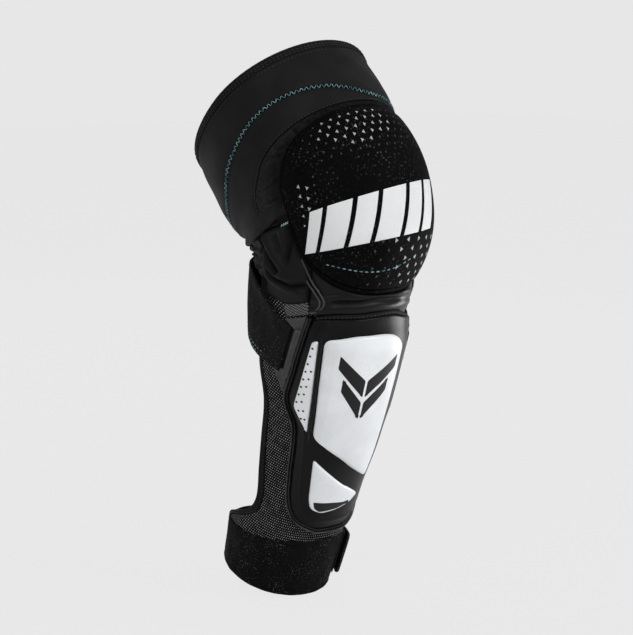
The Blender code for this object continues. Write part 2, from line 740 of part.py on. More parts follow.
def build_ankle(collection, finishes):
    """Build the ankle band, its strap, closing tab and loop patch, and return the tab's pieces."""
    band = ring_outline(lambda angle: -BAND_DROP, band_top)
    wrapped_slab("ankle_band", band, constant(0.0), constant(BAND_WALL), finishes["elastic"], collection)
    high = ANKLE_TAB_HEIGHT
    root = ANKLE_TAB_ROOT
    end = root + ANKLE_TAB_SPAN
    climb_length = root - ANKLE_STRAP_START - HOOK_INSET

    def climb(angle, height):
        share = smooth_step((angle - ANKLE_STRAP_START) / climb_length)
        return ANKLE_PATCH_LIFT + (ANKLE_TAB_LIFT - ANKLE_PATCH_LIFT) * share

    def climb_outer(angle, height):
        return climb(angle, height) + TAB_WALL

    strap_end = root - SEAM_GAP
    strap = on_band([(ANKLE_STRAP_START, 0.0), (strap_end, 0.0), (strap_end, high), (ANKLE_STRAP_START, high)])
    wrapped_slab("ankle_strap", strap, climb, climb_outer, finishes["elastic"], collection)
    tab = on_band(square_root_end(root, end, 0.0, high, TAB_CORNER))
    tab_piece = wrapped_slab("ankle_tab", tab, constant(ANKLE_TAB_LIFT), constant(ANKLE_TAB_LIFT + TAB_WALL),
                             finishes["tab"], collection)
    inset = HOOK_INSET
    pad_rear = root + ANKLE_HOOK_SETBACK
    pad = rounded([(pad_rear, inset), (end - inset, inset), (end - inset, high - inset), (pad_rear, high - inset)],
                  TAB_CORNER - inset)
    hook = wrapped_slab("ankle_hook_pad", on_band(pad), constant(ANKLE_HOOK_LIFT),
                        constant(ANKLE_HOOK_LIFT + HOOK_WALL), finishes["hook"], collection)
    patch_rear = root + ANKLE_PATCH_SETBACK
    patch_end = end + SEAM_GAP
    patch = rounded([(patch_rear, 0.0), (patch_end, 0.0), (patch_end, high), (patch_rear, high)],
                    TAB_CORNER - inset)
    wrapped_slab("ankle_loop_patch", on_band(patch), constant(ANKLE_PATCH_LIFT),
                 constant(ANKLE_PATCH_LIFT + PATCH_WALL), finishes["loop"], collection)
    fold = root - SEAM_GAP / 2
    ends = [height for _, height in on_band([(fold, 0.0), (fold, high)])]
    return [tab_piece, hook], fold_line(fold, *ends, ANKLE_TAB_LIFT + TAB_WALL)


def arch_outline(grow, count=40):
    """Return points of the arched seam over the knee, from one side to the other."""
    points = []
    for index in range(count + 1):
        turn = math.pi * index / count
        across = math.copysign(abs(math.cos(turn)) ** (2 / ARCH_SQUARENESS), math.cos(turn))
        along = math.sin(turn) ** (2 / ARCH_SQUARENESS)
        points.append((
            across * (ARCH_HALF_ANGLE + grow),
            PANEL_LOW + along * (ARCH_TOP + grow - PANEL_LOW),
        ))
    return points


def build_cup(collection, finishes):
    """Build the liner, foam, cover and piping of the knee cup."""
    outline = cup_outline(0.0)
    wrapped_slab("cup_liner", outline, constant(0.0), constant(LINER_WALL), finishes["liner"], collection,
                 CUP_CELL)
    wrapped_slab("cup_foam", outline, cup_foam_inner, cup_foam_outer, finishes["foam"], collection, CUP_CELL)
    wrapped_slab("cup_cover", outline, cup_cover_inner, cup_cover_outer, finishes["knit"], collection, CUP_CELL)
    edge = LINER_WALL + 2 * CLEARANCE + CUP_FOAM_EDGE + CUP_COVER_WALL
    piping = cup_outline(CUP_PIPING_RADIUS + SEAM_GAP)
    tube("cup_piping", piping, constant(edge / 2), CUP_PIPING_RADIUS, finishes["rim"], collection, True)


def build_soft_knee(collection, finishes):
    """Build the stretch pieces round the knee: surround, gusset, side pads and rear sleeve."""
    reach = 2 * CUP_PIPING_RADIUS + 2 * SEAM_GAP
    inner_edge = [point for point in cup_outline(reach, -20.0, 200.0) if point[1] >= PANEL_LOW]
    surround = arch_outline(-SEAM_GAP) + list(reversed(inner_edge))
    wrapped_slab("cup_surround", surround, constant(0.0), constant(SLEEVE_WALL), finishes["neoprene"],
                 collection)
    gusset_top = [point for point in cup_outline(reach, 180.0, 360.0) if abs(point[0]) <= GUSSET_HALF_ANGLE]
    corner = shell_corner() + 4.0
    lower = [(-GUSSET_HALF_ANGLE, corner), (-SHELL_TOP_FLAT, SHELL_TOP + SEAM_GAP),
             (SHELL_TOP_FLAT, SHELL_TOP + SEAM_GAP), (GUSSET_HALF_ANGLE, corner)]

    def folded(angle, height):
        share = (height - SHELL_TOP) / GUSSET_HEIGHT
        return SLEEVE_WALL + SLEEVE_FOLD * math.sin(math.pi * share * GUSSET_FOLDS) ** 2

    wrapped_slab("knee_gusset", lower + list(reversed(gusset_top)), constant(0.0), folded,
                 finishes["neoprene"], collection, (CELL_ANGLE, GUSSET_HEIGHT / (2 * GUSSET_FOLDS)))
    pad_low = panel_top() + 2 * SEAM_GAP
    pad_high = PANEL_LOW - 2 * SEAM_GAP
    pad_front = GUSSET_HALF_ANGLE + 2 * SEAM_GAP
    cup_side = cup_outline(reach + SEAM_GAP, 270.0, 360.0)
    pad = [point for point in cup_side if point[0] > pad_front and point[1] > pad_low and point[1] < pad_high]
    pad += [(pad[-1][0] + 1.0, pad_high), (PAD_REAR_ANGLE - 4.0, pad_high), (PAD_REAR_ANGLE, pad_low + 20.0),
            (PAD_REAR_ANGLE, pad_low), (pad_front, pad_low), (pad_front, pad[0][1] - 2.0)]
    middle = ((CUP_HALF_ANGLE + PAD_REAR_ANGLE) / 2, (pad_low + pad_high) / 2)

    def puffed(angle, height):
        across = (abs(angle) - middle[0]) / (PAD_REAR_ANGLE - CUP_HALF_ANGLE) * 2
        along = (height - middle[1]) / (pad_high - pad_low) * 2
        return PAD_WALL + PAD_CROWN * max(0.0, 1 - across * across) * max(0.0, 1 - along * along)

    for word, outline in (("inner", pad), ("outer", mirrored(pad))):
        wrapped_slab(f"side_pad_{word}", outline, constant(0.0), puffed, finishes["neoprene"], collection,
                     PAD_CELL)
    rear_high = pad_high
    first = PAD_REAR_ANGLE + 2 * SEAM_GAP
    angles = [first + (360.0 - 2 * first) * index / 16 for index in range(17)]
    rear = [(angle, max(strap_top(angle), panel_top()) + REAR_GAP) for angle in angles]
    rear_low = min(point[1] for point in rear)
    rear += [(360.0 - first, rear_high), (first, rear_high)]

    def crumpled(angle, height):
        share = (height - rear_low) / (rear_high - rear_low)
        return SLEEVE_WALL + SLEEVE_FOLD * math.sin(math.pi * share * REAR_FOLDS) ** 2

    wrapped_slab("rear_sleeve", rear, constant(0.0), crumpled, finishes["neoprene"], collection,
                 (CELL_ANGLE, (rear_high - rear_low) / (2 * REAR_FOLDS)))


def build_thigh(collection, finishes):
    """Build the thigh sleeve, cuff, hem and grip strip."""
    arch = list(reversed(arch_outline(SEAM_GAP)))
    high = CUFF_LOW - SEAM_GAP
    stations = [-180.0 + CELL_ANGLE * index for index in range(int(360 / CELL_ANGLE) + 1)]
    upper = [(angle, high) for angle in reversed(stations)]
    sleeve = [(-180.0, PANEL_LOW)] + arch + [(180.0, PANEL_LOW)] + upper
    wrapped_slab("thigh_sleeve", sleeve, constant(0.0), constant(SLEEVE_WALL), finishes["neoprene"], collection)
    cuff = ring_outline(lambda angle: CUFF_LOW, lambda angle: CUFF_TOP)
    wrapped_slab("thigh_cuff", cuff, constant(0.0), constant(CUFF_WALL), finishes["neoprene"], collection)
    hem_height = CUFF_TOP + HEM_RADIUS + CLEARANCE
    hem = [(angle, hem_height) for angle in stations[:-1]]
    tube("thigh_hem", hem, constant(CUFF_WALL / 2), HEM_RADIUS, finishes["binding"], collection, True)
    grip_low = CUFF_LOW + (CUFF_HEIGHT - GRIP_HEIGHT) / 2
    grip = ring_outline(lambda angle: grip_low, lambda angle: grip_low + GRIP_HEIGHT)
    wrapped_slab("thigh_grip", grip, constant(-CLEARANCE - GRIP_WALL), constant(-CLEARANCE),
                 finishes["grip"], collection)


def set_origin(item, point):
    """Move an object's origin to a point without moving its mesh."""
    item.data.transform(Matrix.Translation(-point))
    item.location = point


def main():
    """Build the guard."""
    remove_all_objects()
    guard = new_collection("knee_guard")
    finishes = {
        "liner": finish_material("liner_jersey", (0.03, 0.03, 0.032), 0.95),
        "foam": finish_material("impact_foam", (0.05, 0.05, 0.055), 0.9),
        "shell": finish_material("shell_black", (0.018, 0.018, 0.02), 0.42),
        "rim": finish_material("rim_black", (0.015, 0.015, 0.016), 0.45),
        "plate": finish_material("plate_white", (0.78, 0.8, 0.82), 0.32),
        "mesh": finish_material("air_mesh", (0.025, 0.025, 0.026), 0.9),
        "binding": finish_material("binding_black", (0.015, 0.015, 0.016), 0.7),
        "wing": finish_material("wing_grey", (0.04, 0.04, 0.043), 0.45),
        "elastic": finish_material("elastic_black", (0.014, 0.014, 0.015), 0.9),
        "tab": finish_material("tab_black", (0.012, 0.012, 0.013), 0.75),
        "hook": finish_material("hook_black", (0.01, 0.01, 0.01), 0.85),
        "loop": finish_material("loop_black", (0.016, 0.016, 0.017), 0.98),
        "knit": finish_material("cup_knit", (0.016, 0.016, 0.017), 0.85),
        "neoprene": finish_material("neoprene_black", (0.016, 0.016, 0.018), 0.7),
        "grip": finish_material("grip_silicone", (0.02, 0.02, 0.022), 0.5),
    }
    build_shin(guard, finishes)
    build_sides(guard, finishes)
    calf_tab, calf_fold = build_calf_strap(guard, finishes)
    ankle_tab, ankle_fold = build_ankle(guard, finishes)
    build_cup(guard, finishes)
    build_soft_knee(guard, finishes)
    build_thigh(guard, finishes)
    for pieces, (point, direction) in ((calf_tab, calf_fold), (ankle_tab, ankle_fold)):
        for item in pieces:
            set_origin(item, point)
        place = [round(value, 5) for value in point]
        along = [round(value, 5) for value in direction]
        print(pieces[0].name, "fold at", place, "along", along)


main()
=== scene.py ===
"""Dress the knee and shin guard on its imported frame.

Every piece starts as a flat pattern and is wrapped on one leg form. A pattern point is an angle round the
leg in degrees (0 at the front, positive towards -X) and a height along the leg in millimetres above the
ankle. A lift is a distance in millimetres off the leg's skin, found from angles and heights. A relief is what
is added to a lift, and also depends on the distance to the pattern's edge.
"""

from __future__ import annotations

import logging
import math
from dataclasses import dataclass, field
from enum import Enum
from typing import Callable, Optional, Sequence, Union

import bpy
import numpy as np
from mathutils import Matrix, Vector
from mathutils.kdtree import KDTree

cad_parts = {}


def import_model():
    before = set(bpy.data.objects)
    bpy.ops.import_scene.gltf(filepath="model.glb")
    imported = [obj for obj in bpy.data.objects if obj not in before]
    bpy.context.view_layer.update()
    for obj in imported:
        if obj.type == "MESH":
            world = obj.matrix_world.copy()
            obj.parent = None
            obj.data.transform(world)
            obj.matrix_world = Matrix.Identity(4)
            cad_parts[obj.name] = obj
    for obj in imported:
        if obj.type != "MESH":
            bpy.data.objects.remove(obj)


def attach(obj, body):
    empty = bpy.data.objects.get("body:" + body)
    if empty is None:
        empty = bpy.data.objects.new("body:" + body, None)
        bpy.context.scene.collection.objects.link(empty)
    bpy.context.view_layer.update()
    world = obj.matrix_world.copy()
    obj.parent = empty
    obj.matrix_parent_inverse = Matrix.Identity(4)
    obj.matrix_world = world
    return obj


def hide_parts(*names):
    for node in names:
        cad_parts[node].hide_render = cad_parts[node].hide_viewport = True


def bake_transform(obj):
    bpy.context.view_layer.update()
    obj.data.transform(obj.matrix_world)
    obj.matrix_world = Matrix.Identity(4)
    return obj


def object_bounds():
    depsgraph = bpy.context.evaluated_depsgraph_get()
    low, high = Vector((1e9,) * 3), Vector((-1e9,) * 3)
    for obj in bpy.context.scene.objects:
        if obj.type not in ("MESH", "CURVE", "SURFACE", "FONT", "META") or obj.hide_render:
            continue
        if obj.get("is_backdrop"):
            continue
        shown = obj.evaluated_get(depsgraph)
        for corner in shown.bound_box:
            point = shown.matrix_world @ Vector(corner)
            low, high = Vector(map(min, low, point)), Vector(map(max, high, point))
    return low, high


MM = 0.001
LOG = logging.getLogger("knee_guard")

Array = np.ndarray
Lift = Callable[[Array, Array], Array]
Level = Union[float, Lift]
Relief = Callable[[Array, Array, Array], Array]
Points = Sequence[Sequence[float]]
Socket = bpy.types.NodeSocket
Value = Union[float, tuple, Socket]
Item = bpy.types.Object

MEAN_PITCH = 1.15
EDGE_STEPS = np.array((0, 0.35, 0.9, 1.7, 2.8))
SIDES = (("inner", 1.0), ("outer", -1.0))
INSIDE_TAPE = (-1.0, -0.1)


def ease(value: Array) -> Array:
    """Ease from 0 to 1 as the value goes from 0 to 1."""
    value = np.clip(value, 0, 1)
    return value * value * (3 - 2 * value)


def bump(distance: Array, width: float) -> Array:
    """Return 1 at no distance, falling smoothly to 0 over about two widths."""
    return np.exp(-((distance / width) ** 2))


def lift_of(value: Level) -> Lift:
    """Return a lift as a function, also where it is the same everywhere."""
    return value if callable(value) else lambda angle, height: np.full_like(np.asarray(angle, float), value)


def raised(lift: Lift, distance: float) -> Lift:
    """Return a lift raised by a distance."""
    return lambda angle, height: lift(angle, height) + distance


def path_at(angles: Array, heights: Union[float, Array]) -> Array:
    """Return the pattern points at angles and heights."""
    return np.column_stack(np.broadcast_arrays(angles, heights))


def oval(half_width: float, half_height: float) -> Array:
    """Return the points of an oval section."""
    turn = np.radians(np.arange(0, 360, 36))
    return np.column_stack((half_width * np.cos(turn), half_height * np.sin(turn)))


def smooth_lookup(table: Points, place: Array, column: int = 1) -> Array:
    """Read a column of a table of rows on a smooth curve through the rows.

    Args:
        table: Rows in rising order of their first number.
        place: Where to read, in the units of the first number.
        column: Which number of the rows to read.

    Returns:
        The values at the places.
    """
    rows = np.asarray(table, float)
    knots = rows[:, 0]
    values = rows[:, column]
    order = np.arange(len(knots))
    before = np.maximum(order - 1, 0)
    after = np.minimum(order + 1, len(knots) - 1)
    slope = (values[after] - values[before]) / (knots[after] - knots[before])
    place = np.clip(np.asarray(place, float), knots[0], knots[-1])
    index = np.clip(np.searchsorted(knots, place, side="right") - 1, 0, len(knots) - 2)
    step = knots[index + 1] - knots[index]
    t = (place - knots[index]) / step
    return (
        values[index] * (1 + 2 * t) * (1 - t) ** 2
        + slope[index] * step * t * (1 - t) ** 2
        + values[index + 1] * t * t * (3 - 2 * t)
        + slope[index + 1] * step * t * t * (t - 1)
    )


@dataclass(frozen=True)
class LegForm:
    """The leg that the patterns are wrapped on: a shin, a bend and a thigh, with rounded sections."""

    shin_lean: float = 18.0
    thigh_lean: float = 41.0
    bend_length: float = 120.0
    knee_height: float = 345.0
    sections: tuple = (
        (0, 46.5, 46.5, 53.5, 2.1),
        (54, 47.5, 50, 61, 2.2),
        (119.96, 48, 51, 58, 2.2),
        (189.72, 51, 54.5, 63, 2.2),
        (250.76, 57, 54, 84, 2.15),
        (300, 62, 54, 93, 2.1),
        (345, 67, 65, 98, 2.05),
        (385, 73, 71, 104, 2),
        (430, 79, 80, 110, 2),
        (490.4, 78, 78, 106, 2),
    )

    def axis(self, height: Array) -> tuple[Array, Array, Array]:
        """Find the leg's centre line.

        Args:
            height: Heights along the leg.

        Returns:
            The centre's Y and Z in millimetres and the lean in radians.
        """
        shin = math.radians(self.shin_lean)
        thigh = math.radians(self.thigh_lean)
        turn = shin + thigh
        radius = self.bend_length / turn
        tangent = radius * math.tan(turn / 2)
        half = self.bend_length / 2
        along = np.asarray(height, float) - self.knee_height
        lean = shin - turn * np.clip((along + half) / self.bend_length, 0, 1)
        bend_y = tangent * math.sin(shin) + radius * (math.cos(shin) - np.cos(lean))
        bend_z = -tangent * math.cos(shin) + radius * (math.sin(shin) - np.sin(lean))
        below = tangent - along - half
        above = tangent + along - half
        parts = [along <= -half, along >= half]
        centre_y = np.select(parts, [below * math.sin(shin), above * math.sin(thigh)], bend_y)
        centre_z = np.select(parts, [-below * math.cos(shin), above * math.cos(thigh)], bend_z)
        return centre_y, centre_z, lean

    def wrap(self, angle: Array, height: Array, lift: Array) -> Array:
        """Put pattern points on the leg.

        Args:
            angle: Angles round the leg.
            height: Heights along the leg.
            lift: Lifts off the skin.

        Returns:
            One row of X, Y and Z in metres for each point.
        """
        half_width, front, back, squareness = (smooth_lookup(self.sections, height, c) for c in (1, 2, 3, 4))
        turn = np.radians(angle)
        side = np.sin(turn)
        ahead = np.cos(turn)
        depth = np.where(ahead > 0, front, back)
        power = np.where(ahead > 0, 2 / squareness, 1)
        across = -half_width * np.sign(side) * np.abs(side) ** power
        forward = depth * np.sign(ahead) * np.abs(ahead) ** power
        slope = 2 / power - 1
        normal_across = np.sign(across) * np.abs(across / half_width) ** slope / half_width
        normal_forward = np.sign(forward) * np.abs(forward / depth) ** slope / depth
        length = np.hypot(normal_across, normal_forward)
        across = across + lift * normal_across / length
        forward = forward + lift * normal_forward / length
        centre_y, centre_z, lean = self.axis(height)
        return np.column_stack((
            across,
            centre_y - np.cos(lean) * forward,
            centre_z - np.sin(lean) * forward,
        )) * MM

    def pitch(self, angle: Array, height: Array) -> Array:
        """Return about how many millimetres one degree covers."""
        half_width, front, back = (smooth_lookup(self.sections, height, column) for column in (1, 2, 3))
        depth = np.where(np.cos(np.radians(angle)) > 0, front, back)
        return np.radians(1) * (half_width + depth) / 2


@dataclass(frozen=True)
class Cut:
    """The shared lines of the guard's pattern, with heights in millimetres and angles in degrees."""

    band: float = 54.0
    band_crest: float = 4.0
    band_rise: float = 13.4
    band_high_angle: float = 5.0
    shell_low: float = 72.0
    shell_top: float = 290.0
    cup_low: float = 306.0
    cup_top: float = 412.0
    panel_low: float = 355.0
    panel_top: float = 284.0
    arch_top: float = 420.0
    cuff_top: float = 484.0
    rim: float = 490.4
    strap_low: float = 215.88
    slot_top: float = 263.88
    cup_half_angle: float = 78.0
    cup_squareness: float = 2.6
    arch_half_angle: float = 104.0
    arch_squareness: float = 3.2
    pad_rear: float = 112.0
    shell_edges: tuple = (
        (0, 22), (0.03, 37), (0.10, 48), (0.21, 53), (0.40, 57.5), (0.47, 61),
        (0.54, 70.5), (0.585, 73), (0.69, 69.5), (0.79, 66.5), (0.955, 60.5),
    )
    mesh_rears: tuple = (
        (-0.09, 131), (-0.05, 121), (0, 107), (0.05, 94), (0.1, 85.5), (0.16, 81.5), (0.24, 81.5),
        (0.36, 85.5), (0.56, 91), (0.78, 97), (0.96, 113), (1.4, 110),
    )
    brow: tuple = (
        (-58.5, 277), (-48, 278), (-38, 280.5), (-25, 285), (-12, 288), (0, 288.5), (20, 287),
        (38, 285.5), (48.5, 283.5), (58.5, 280),
    )
    cuff_seams: tuple = (
        (-180, 408), (-140, 409), (-104, 412), (-75, 420), (-45, 425), (-20, 426),
        (-6, 428), (6, 433), (19, 439.5), (34, 444), (50, 446.5), (67, 446),
        (82, 442), (104, 433), (122, 420), (150, 411), (180, 408),
    )

    @property
    def shell_height(self) -> float:
        """Return the shin shell's height."""
        return self.shell_top - self.shell_low

    @property
    def shell_corner(self) -> float:
        """Return the height where the shell's side turns into its top."""
        return self.shell_low + self.shell_edges[-1][0] * self.shell_height

    @property
    def cup_middle(self) -> float:
        """Return the height of the knee cup's middle."""
        return (self.cup_low + self.cup_top) / 2

    def on_shell(self, points: Points) -> Array:
        """Turn angles and shares of the shell's height into pattern points."""
        return np.array([(angle, self.shell_low + share * self.shell_height) for angle, share in points],
                        float)

    def shell_edge(self, height: Array) -> Array:
        """Return the half angle of the shell's edge at heights."""
        return smooth_lookup(self.shell_edges, (np.asarray(height) - self.shell_low) / self.shell_height)

    def shell_side(self, grow: float, low: float, high: float, count: int = 60) -> Array:
        """Return points up the shell's edge, grown by an angle."""
        heights = np.linspace(low, high, count)
        return path_at(self.shell_edge(heights) + grow, heights)

    def shell_brow(self, angle: Array) -> Array:
        """Return the height of the seam along the shell's top, lower on the outer side."""
        return smooth_lookup(self.brow, angle)

    def shell_outline(self) -> Array:
        """Return the closed outline of the shin shell, up to the seam along its top."""
        side = self.shell_side(0, self.shell_low, self.brow[0][1] - 6)
        angles = np.linspace(self.brow[-1][0], self.brow[0][0], 60)
        return np.vstack((side, path_at(angles, self.shell_brow(angles)), mirrored(side)))

    def band_top(self, angle: Array) -> Array:
        """Return the height of the ankle band's upper edge."""
        turn = np.radians(np.asarray(angle) - self.band_high_angle)
        return self.band + self.band_crest - self.band_rise * (1 - np.cos(turn))

    def mesh_rear(self, height: Array) -> Array:
        """Return the angle of a mesh panel's rear edge at heights."""
        return smooth_lookup(self.mesh_rears, (np.asarray(height) - self.band) / (self.strap_low - self.band))

    def cuff_seam(self, angle: Array) -> Array:
        """Return the height of the seam between the thigh sleeve and the cuff."""
        return smooth_lookup(self.cuff_seams, angle)

    def cup_reach(self, angle: Array, height: Array) -> Array:
        """Return 0 at the middle of the knee cup and 1 on its edge."""
        across = np.abs(angle) / self.cup_half_angle
        along = np.abs(height - self.cup_middle) / (self.cup_top - self.cup_middle)
        return (across ** self.cup_squareness + along ** self.cup_squareness) ** (1 / self.cup_squareness)

    def cup_edge(self, grow: float, first: float = 0.0, last: float = 360.0, count: int = 240) -> Array:
        """Trace the cup's edge.

        Args:
            grow: How far outside the edge to go.
            first: The first point's turn about the cup's middle, in degrees.
            last: The last point's turn.
            count: How many spans there are.

        Returns:
            The pattern points.
        """
        turn = np.radians(np.linspace(first, last, count + 1))
        across = np.sign(np.cos(turn)) * np.abs(np.cos(turn)) ** (2 / self.cup_squareness)
        along = np.sign(np.sin(turn)) * np.abs(np.sin(turn)) ** (2 / self.cup_squareness)
        high = self.cup_top - self.cup_middle + grow
        return path_at(across * (self.cup_half_angle + grow), self.cup_middle + along * high)

    def arch(self, count: int = 160) -> Array:
        """Return points of the arched seam over the knee, from the inner side to the outer side."""
        turn = np.linspace(0, math.pi, count + 1)
        across = np.sign(np.cos(turn)) * np.abs(np.cos(turn)) ** (2 / self.arch_squareness)
        along = np.abs(np.sin(turn)) ** (2 / self.arch_squareness)
        return path_at(across * self.arch_half_angle,
                       self.panel_low + along * (self.arch_top - self.panel_low))


def mirrored(points: Points) -> Array:
    """Return a pattern turned over to the other side of the leg, in the same sense of turning."""
    return np.asarray(points, float)[::-1] * (-1, 1)


def rounded(points: Points, radius: float, steps: int = 6) -> Array:
    """Return a closed outline with each corner replaced by a curve.

    Args:
        points: The outline's corners in turn.
        radius: How far each curve reaches from its corner, at most.
        steps: How many spans each curve has.

    Returns:
        The points of the eased outline.
    """
    corners = np.asarray(points, float)
    result = []
    for index, corner in enumerate(corners):
        before = corners[index - 1] - corner
        after = corners[(index + 1) % len(corners)] - corner
        reach = min(radius, 0.45 * np.linalg.norm(before), 0.45 * np.linalg.norm(after))
        start = corner + before / np.linalg.norm(before) * reach
        finish = corner + after / np.linalg.norm(after) * reach
        for t in np.linspace(0, 1, steps + 1):
            result.append(start * (1 - t) ** 2 + corner * 2 * t * (1 - t) + finish * t * t)
    return np.array(result)


def arc(points: Array) -> Array:
    """Return the length in millimetres along a path at each of its points."""
    steps = np.diff(points, axis=0) * (MEAN_PITCH, 1)
    return np.concatenate(((0,), np.cumsum(np.hypot(steps[:, 0], steps[:, 1]))))


def resample(points: Points, shares: Array) -> Array:
    """Return the points at shares of a path's length."""
    points = np.asarray(points, float)
    length = arc(points)
    place = np.asarray(shares) * length[-1]
    return np.column_stack([np.interp(place, length, points[:, axis]) for axis in (0, 1)])


def smooth_path(points: Points, step: float) -> Array:
    """Return a smooth curve through points, with about a step between its points."""
    points = np.asarray(points, float)
    length = arc(points)
    table = np.column_stack((length, points))
    places = np.linspace(0, length[-1], max(int(length[-1] / step), 2) + 1)
    return np.column_stack([smooth_lookup(table, places, column) for column in (1, 2)])


def distance_to_path(angle: Array, height: Array, path: Points) -> Array:
    """Measure about how far pattern points are from a path.

    Args:
        angle: Angles round the leg.
        height: Heights along the leg.
        path: The path's pattern points.

    Returns:
        The distances in millimetres.
    """
    points = path_at(np.asarray(angle) * MEAN_PITCH, height)
    ends = np.asarray(path, float) * (MEAN_PITCH, 1)
    nearest = np.full(len(points), np.inf)
    for start, finish in zip(ends[:-1], ends[1:]):
        run = finish - start
        t = np.clip((points - start) @ run / max(run @ run, 1e-9), 0, 1)
        nearest = np.minimum(nearest, np.linalg.norm(points - start - t[:, None] * run, axis=1))
    return nearest


def crowd(length: Array, step: float, both: bool = True) -> Array:
    """Return shares of the way from one edge to the other, crowded where a wall rolls over at an edge.

    Args:
        length: The widths in millimetres.
        step: The spacing away from the edges.
        both: Whether the far edge rolls over too.

    Returns:
        One row of shares for each place between the edges, with one share for each width.
    """
    length = np.maximum(np.atleast_1d(np.asarray(length, float)), 0.3)
    first = EDGE_STEPS[:, None] * np.minimum(1, length / 9) / length
    last = 1 - first[::-1] if both else np.ones((1, len(length)))
    count = max(int(np.median(length) / step) - 2, 2)
    inside = np.linspace(0, 1, count + 2)[1:-1, None]
    return np.vstack((first, first[-1] + (last[0] - first[-1]) * inside, last))


def band_between(first: Points, second: Points, step: float = 2.2, closed: bool = False) -> Array:
    """Return a pattern grid between two edges.

    Args:
        first: The points of one edge.
        second: The points of the other edge, in the same direction.
        step: The spacing of the grid in millimetres.
        closed: Whether the edges go right round the leg.

    Returns:
        The pattern points in rows from the first edge to the second.
    """
    first = np.asarray(first, float)
    second = np.asarray(second, float)
    length = (arc(first)[-1] + arc(second)[-1]) / 2
    shares = np.linspace(0, 1, math.ceil(length / step) + 1) if closed else crowd(length, step)[:, 0]
    first = resample(first, shares)
    run = resample(second, shares) - first
    rows = crowd(np.hypot(run[:, 0] * MEAN_PITCH, run[:, 1]), step)
    return first[None] + run[None] * rows[..., None]


def patch(outline: Points, step: float = 2.2) -> Array:
    """Return a pattern grid in rings from a closed outline to its middle.

    Args:
        outline: The outline's points in turn, without the first one repeated.
        step: The spacing of the grid in millimetres.

    Returns:
        The pattern points in rows from the outline inwards.
    """
    outline = np.asarray(outline, float)
    closed = np.vstack((outline, outline[:1]))
    loop = resample(closed, np.linspace(0, 1, max(math.ceil(arc(closed)[-1] / step), 12) + 1))
    flat_loop = loop * (MEAN_PITCH, 1)
    body = flat_loop[:-1]
    run = np.roll(body, -1, axis=0) - np.roll(body, 1, axis=0)
    run /= np.linalg.norm(run, axis=1)[:, None]
    area = np.sum(body[:, 0] * np.roll(body[:, 1], -1) - np.roll(body[:, 0], -1) * body[:, 1])
    inward = np.column_stack((-run[:, 1], run[:, 0])) * math.copysign(1, area)
    inward = np.vstack((inward, inward[:1]))
    middle = body.mean(axis=0)
    radius = float(np.mean(np.linalg.norm(body - middle, axis=1)))
    rows = [flat_loop + inward * inset * min(1, radius / 8) for inset in EDGE_STEPS]
    count = max(int(radius / step), 3)
    for t in np.linspace(0, 1, count + 1)[1:]:
        rows.append(rows[len(EDGE_STEPS) - 1] * (1 - t) + middle * t)
    return np.array(rows) / (MEAN_PITCH, 1)


class Motion:
    """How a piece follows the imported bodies."""

    def attach(self, item: Item) -> None:
        """Fasten a finished piece to the body or bodies that carry it."""
        raise NotImplementedError


@dataclass(frozen=True)
class Ride(Motion):
    """A piece that moves with one body."""

    body: str

    def attach(self, item: Item) -> None:
        """Fasten the piece to the body."""
        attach(item, self.body)


@dataclass(frozen=True)
class Crossing(Motion):
    """Fabric that crosses between two bodies, from a start point to an end point in metres; it is not
    fastened to either body and does not bend.
    """

    first: str
    second: str
    start: tuple
    end: tuple

    def attach(self, item: Item) -> None:
        """Bake the piece's placing into its mesh; it is not fastened to the bodies and does not bend."""
        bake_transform(item)


SHIN = Ride("shin")
KNEE = Ride("knee")
THIGH = Ride("thigh")
CALF_TAB = Ride("calf_tab")
ANKLE_TAB = Ride("ankle_tab")
UNDER_CUP = Crossing("shin", "knee", (0.0, 0.0210, -0.0420), (0.0, 0.0139, -0.0277))
KNEE_BACK = Crossing("shin", "knee", (0.0, -0.0050, -0.0173), (0.0, 0.0031, 0.0106))
STRAP_REAR = Crossing("shin", "knee", (0.0, -0.0045, -0.0089), (0.0, 0.0089, 0.0179))
OVER_CUP = Crossing("knee", "thigh", (0.0, 0.0471, 0.0448), (0.0, 0.0689, 0.0655))


class Texture(Enum):
    """The surface patterns, by the name of the node group that makes each one."""

    THREADS = "thread_weave"
    SPACER = "spacer_mesh"
    KNIT = "speckled_knit"
    GRAIN = "fine_grain"


@dataclass(frozen=True)
class Finish:
    """A material: its colours, gloss and surface pattern."""

    name: str
    slot: str
    colour: tuple
    accent: tuple
    roughness: float
    texture: Texture = Texture.GRAIN
    across: float = 800.0
    along: float = 800.0
    skew: float = 0.0
    depth: float = 0.15
    contrast: float = 0.5
    specular: float = 0.3
    sheen: float = 0.0
    coat: float = 0.0
    # The next field sets how much rubbed edges and crests are lightened, partly as painted highlight.
    wear_and_highlight: float = 0.0
    cloud: float = 0.25
    # The next field sets how far the painted shade of folds, creases and seams darkens the colour.
    fold: float = 0.0


@dataclass(frozen=True)
class Piece:
    """A piece's name, its finish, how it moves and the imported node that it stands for, if any."""

    name: str
    finish: Finish
    motion: Motion
    node: str = ""


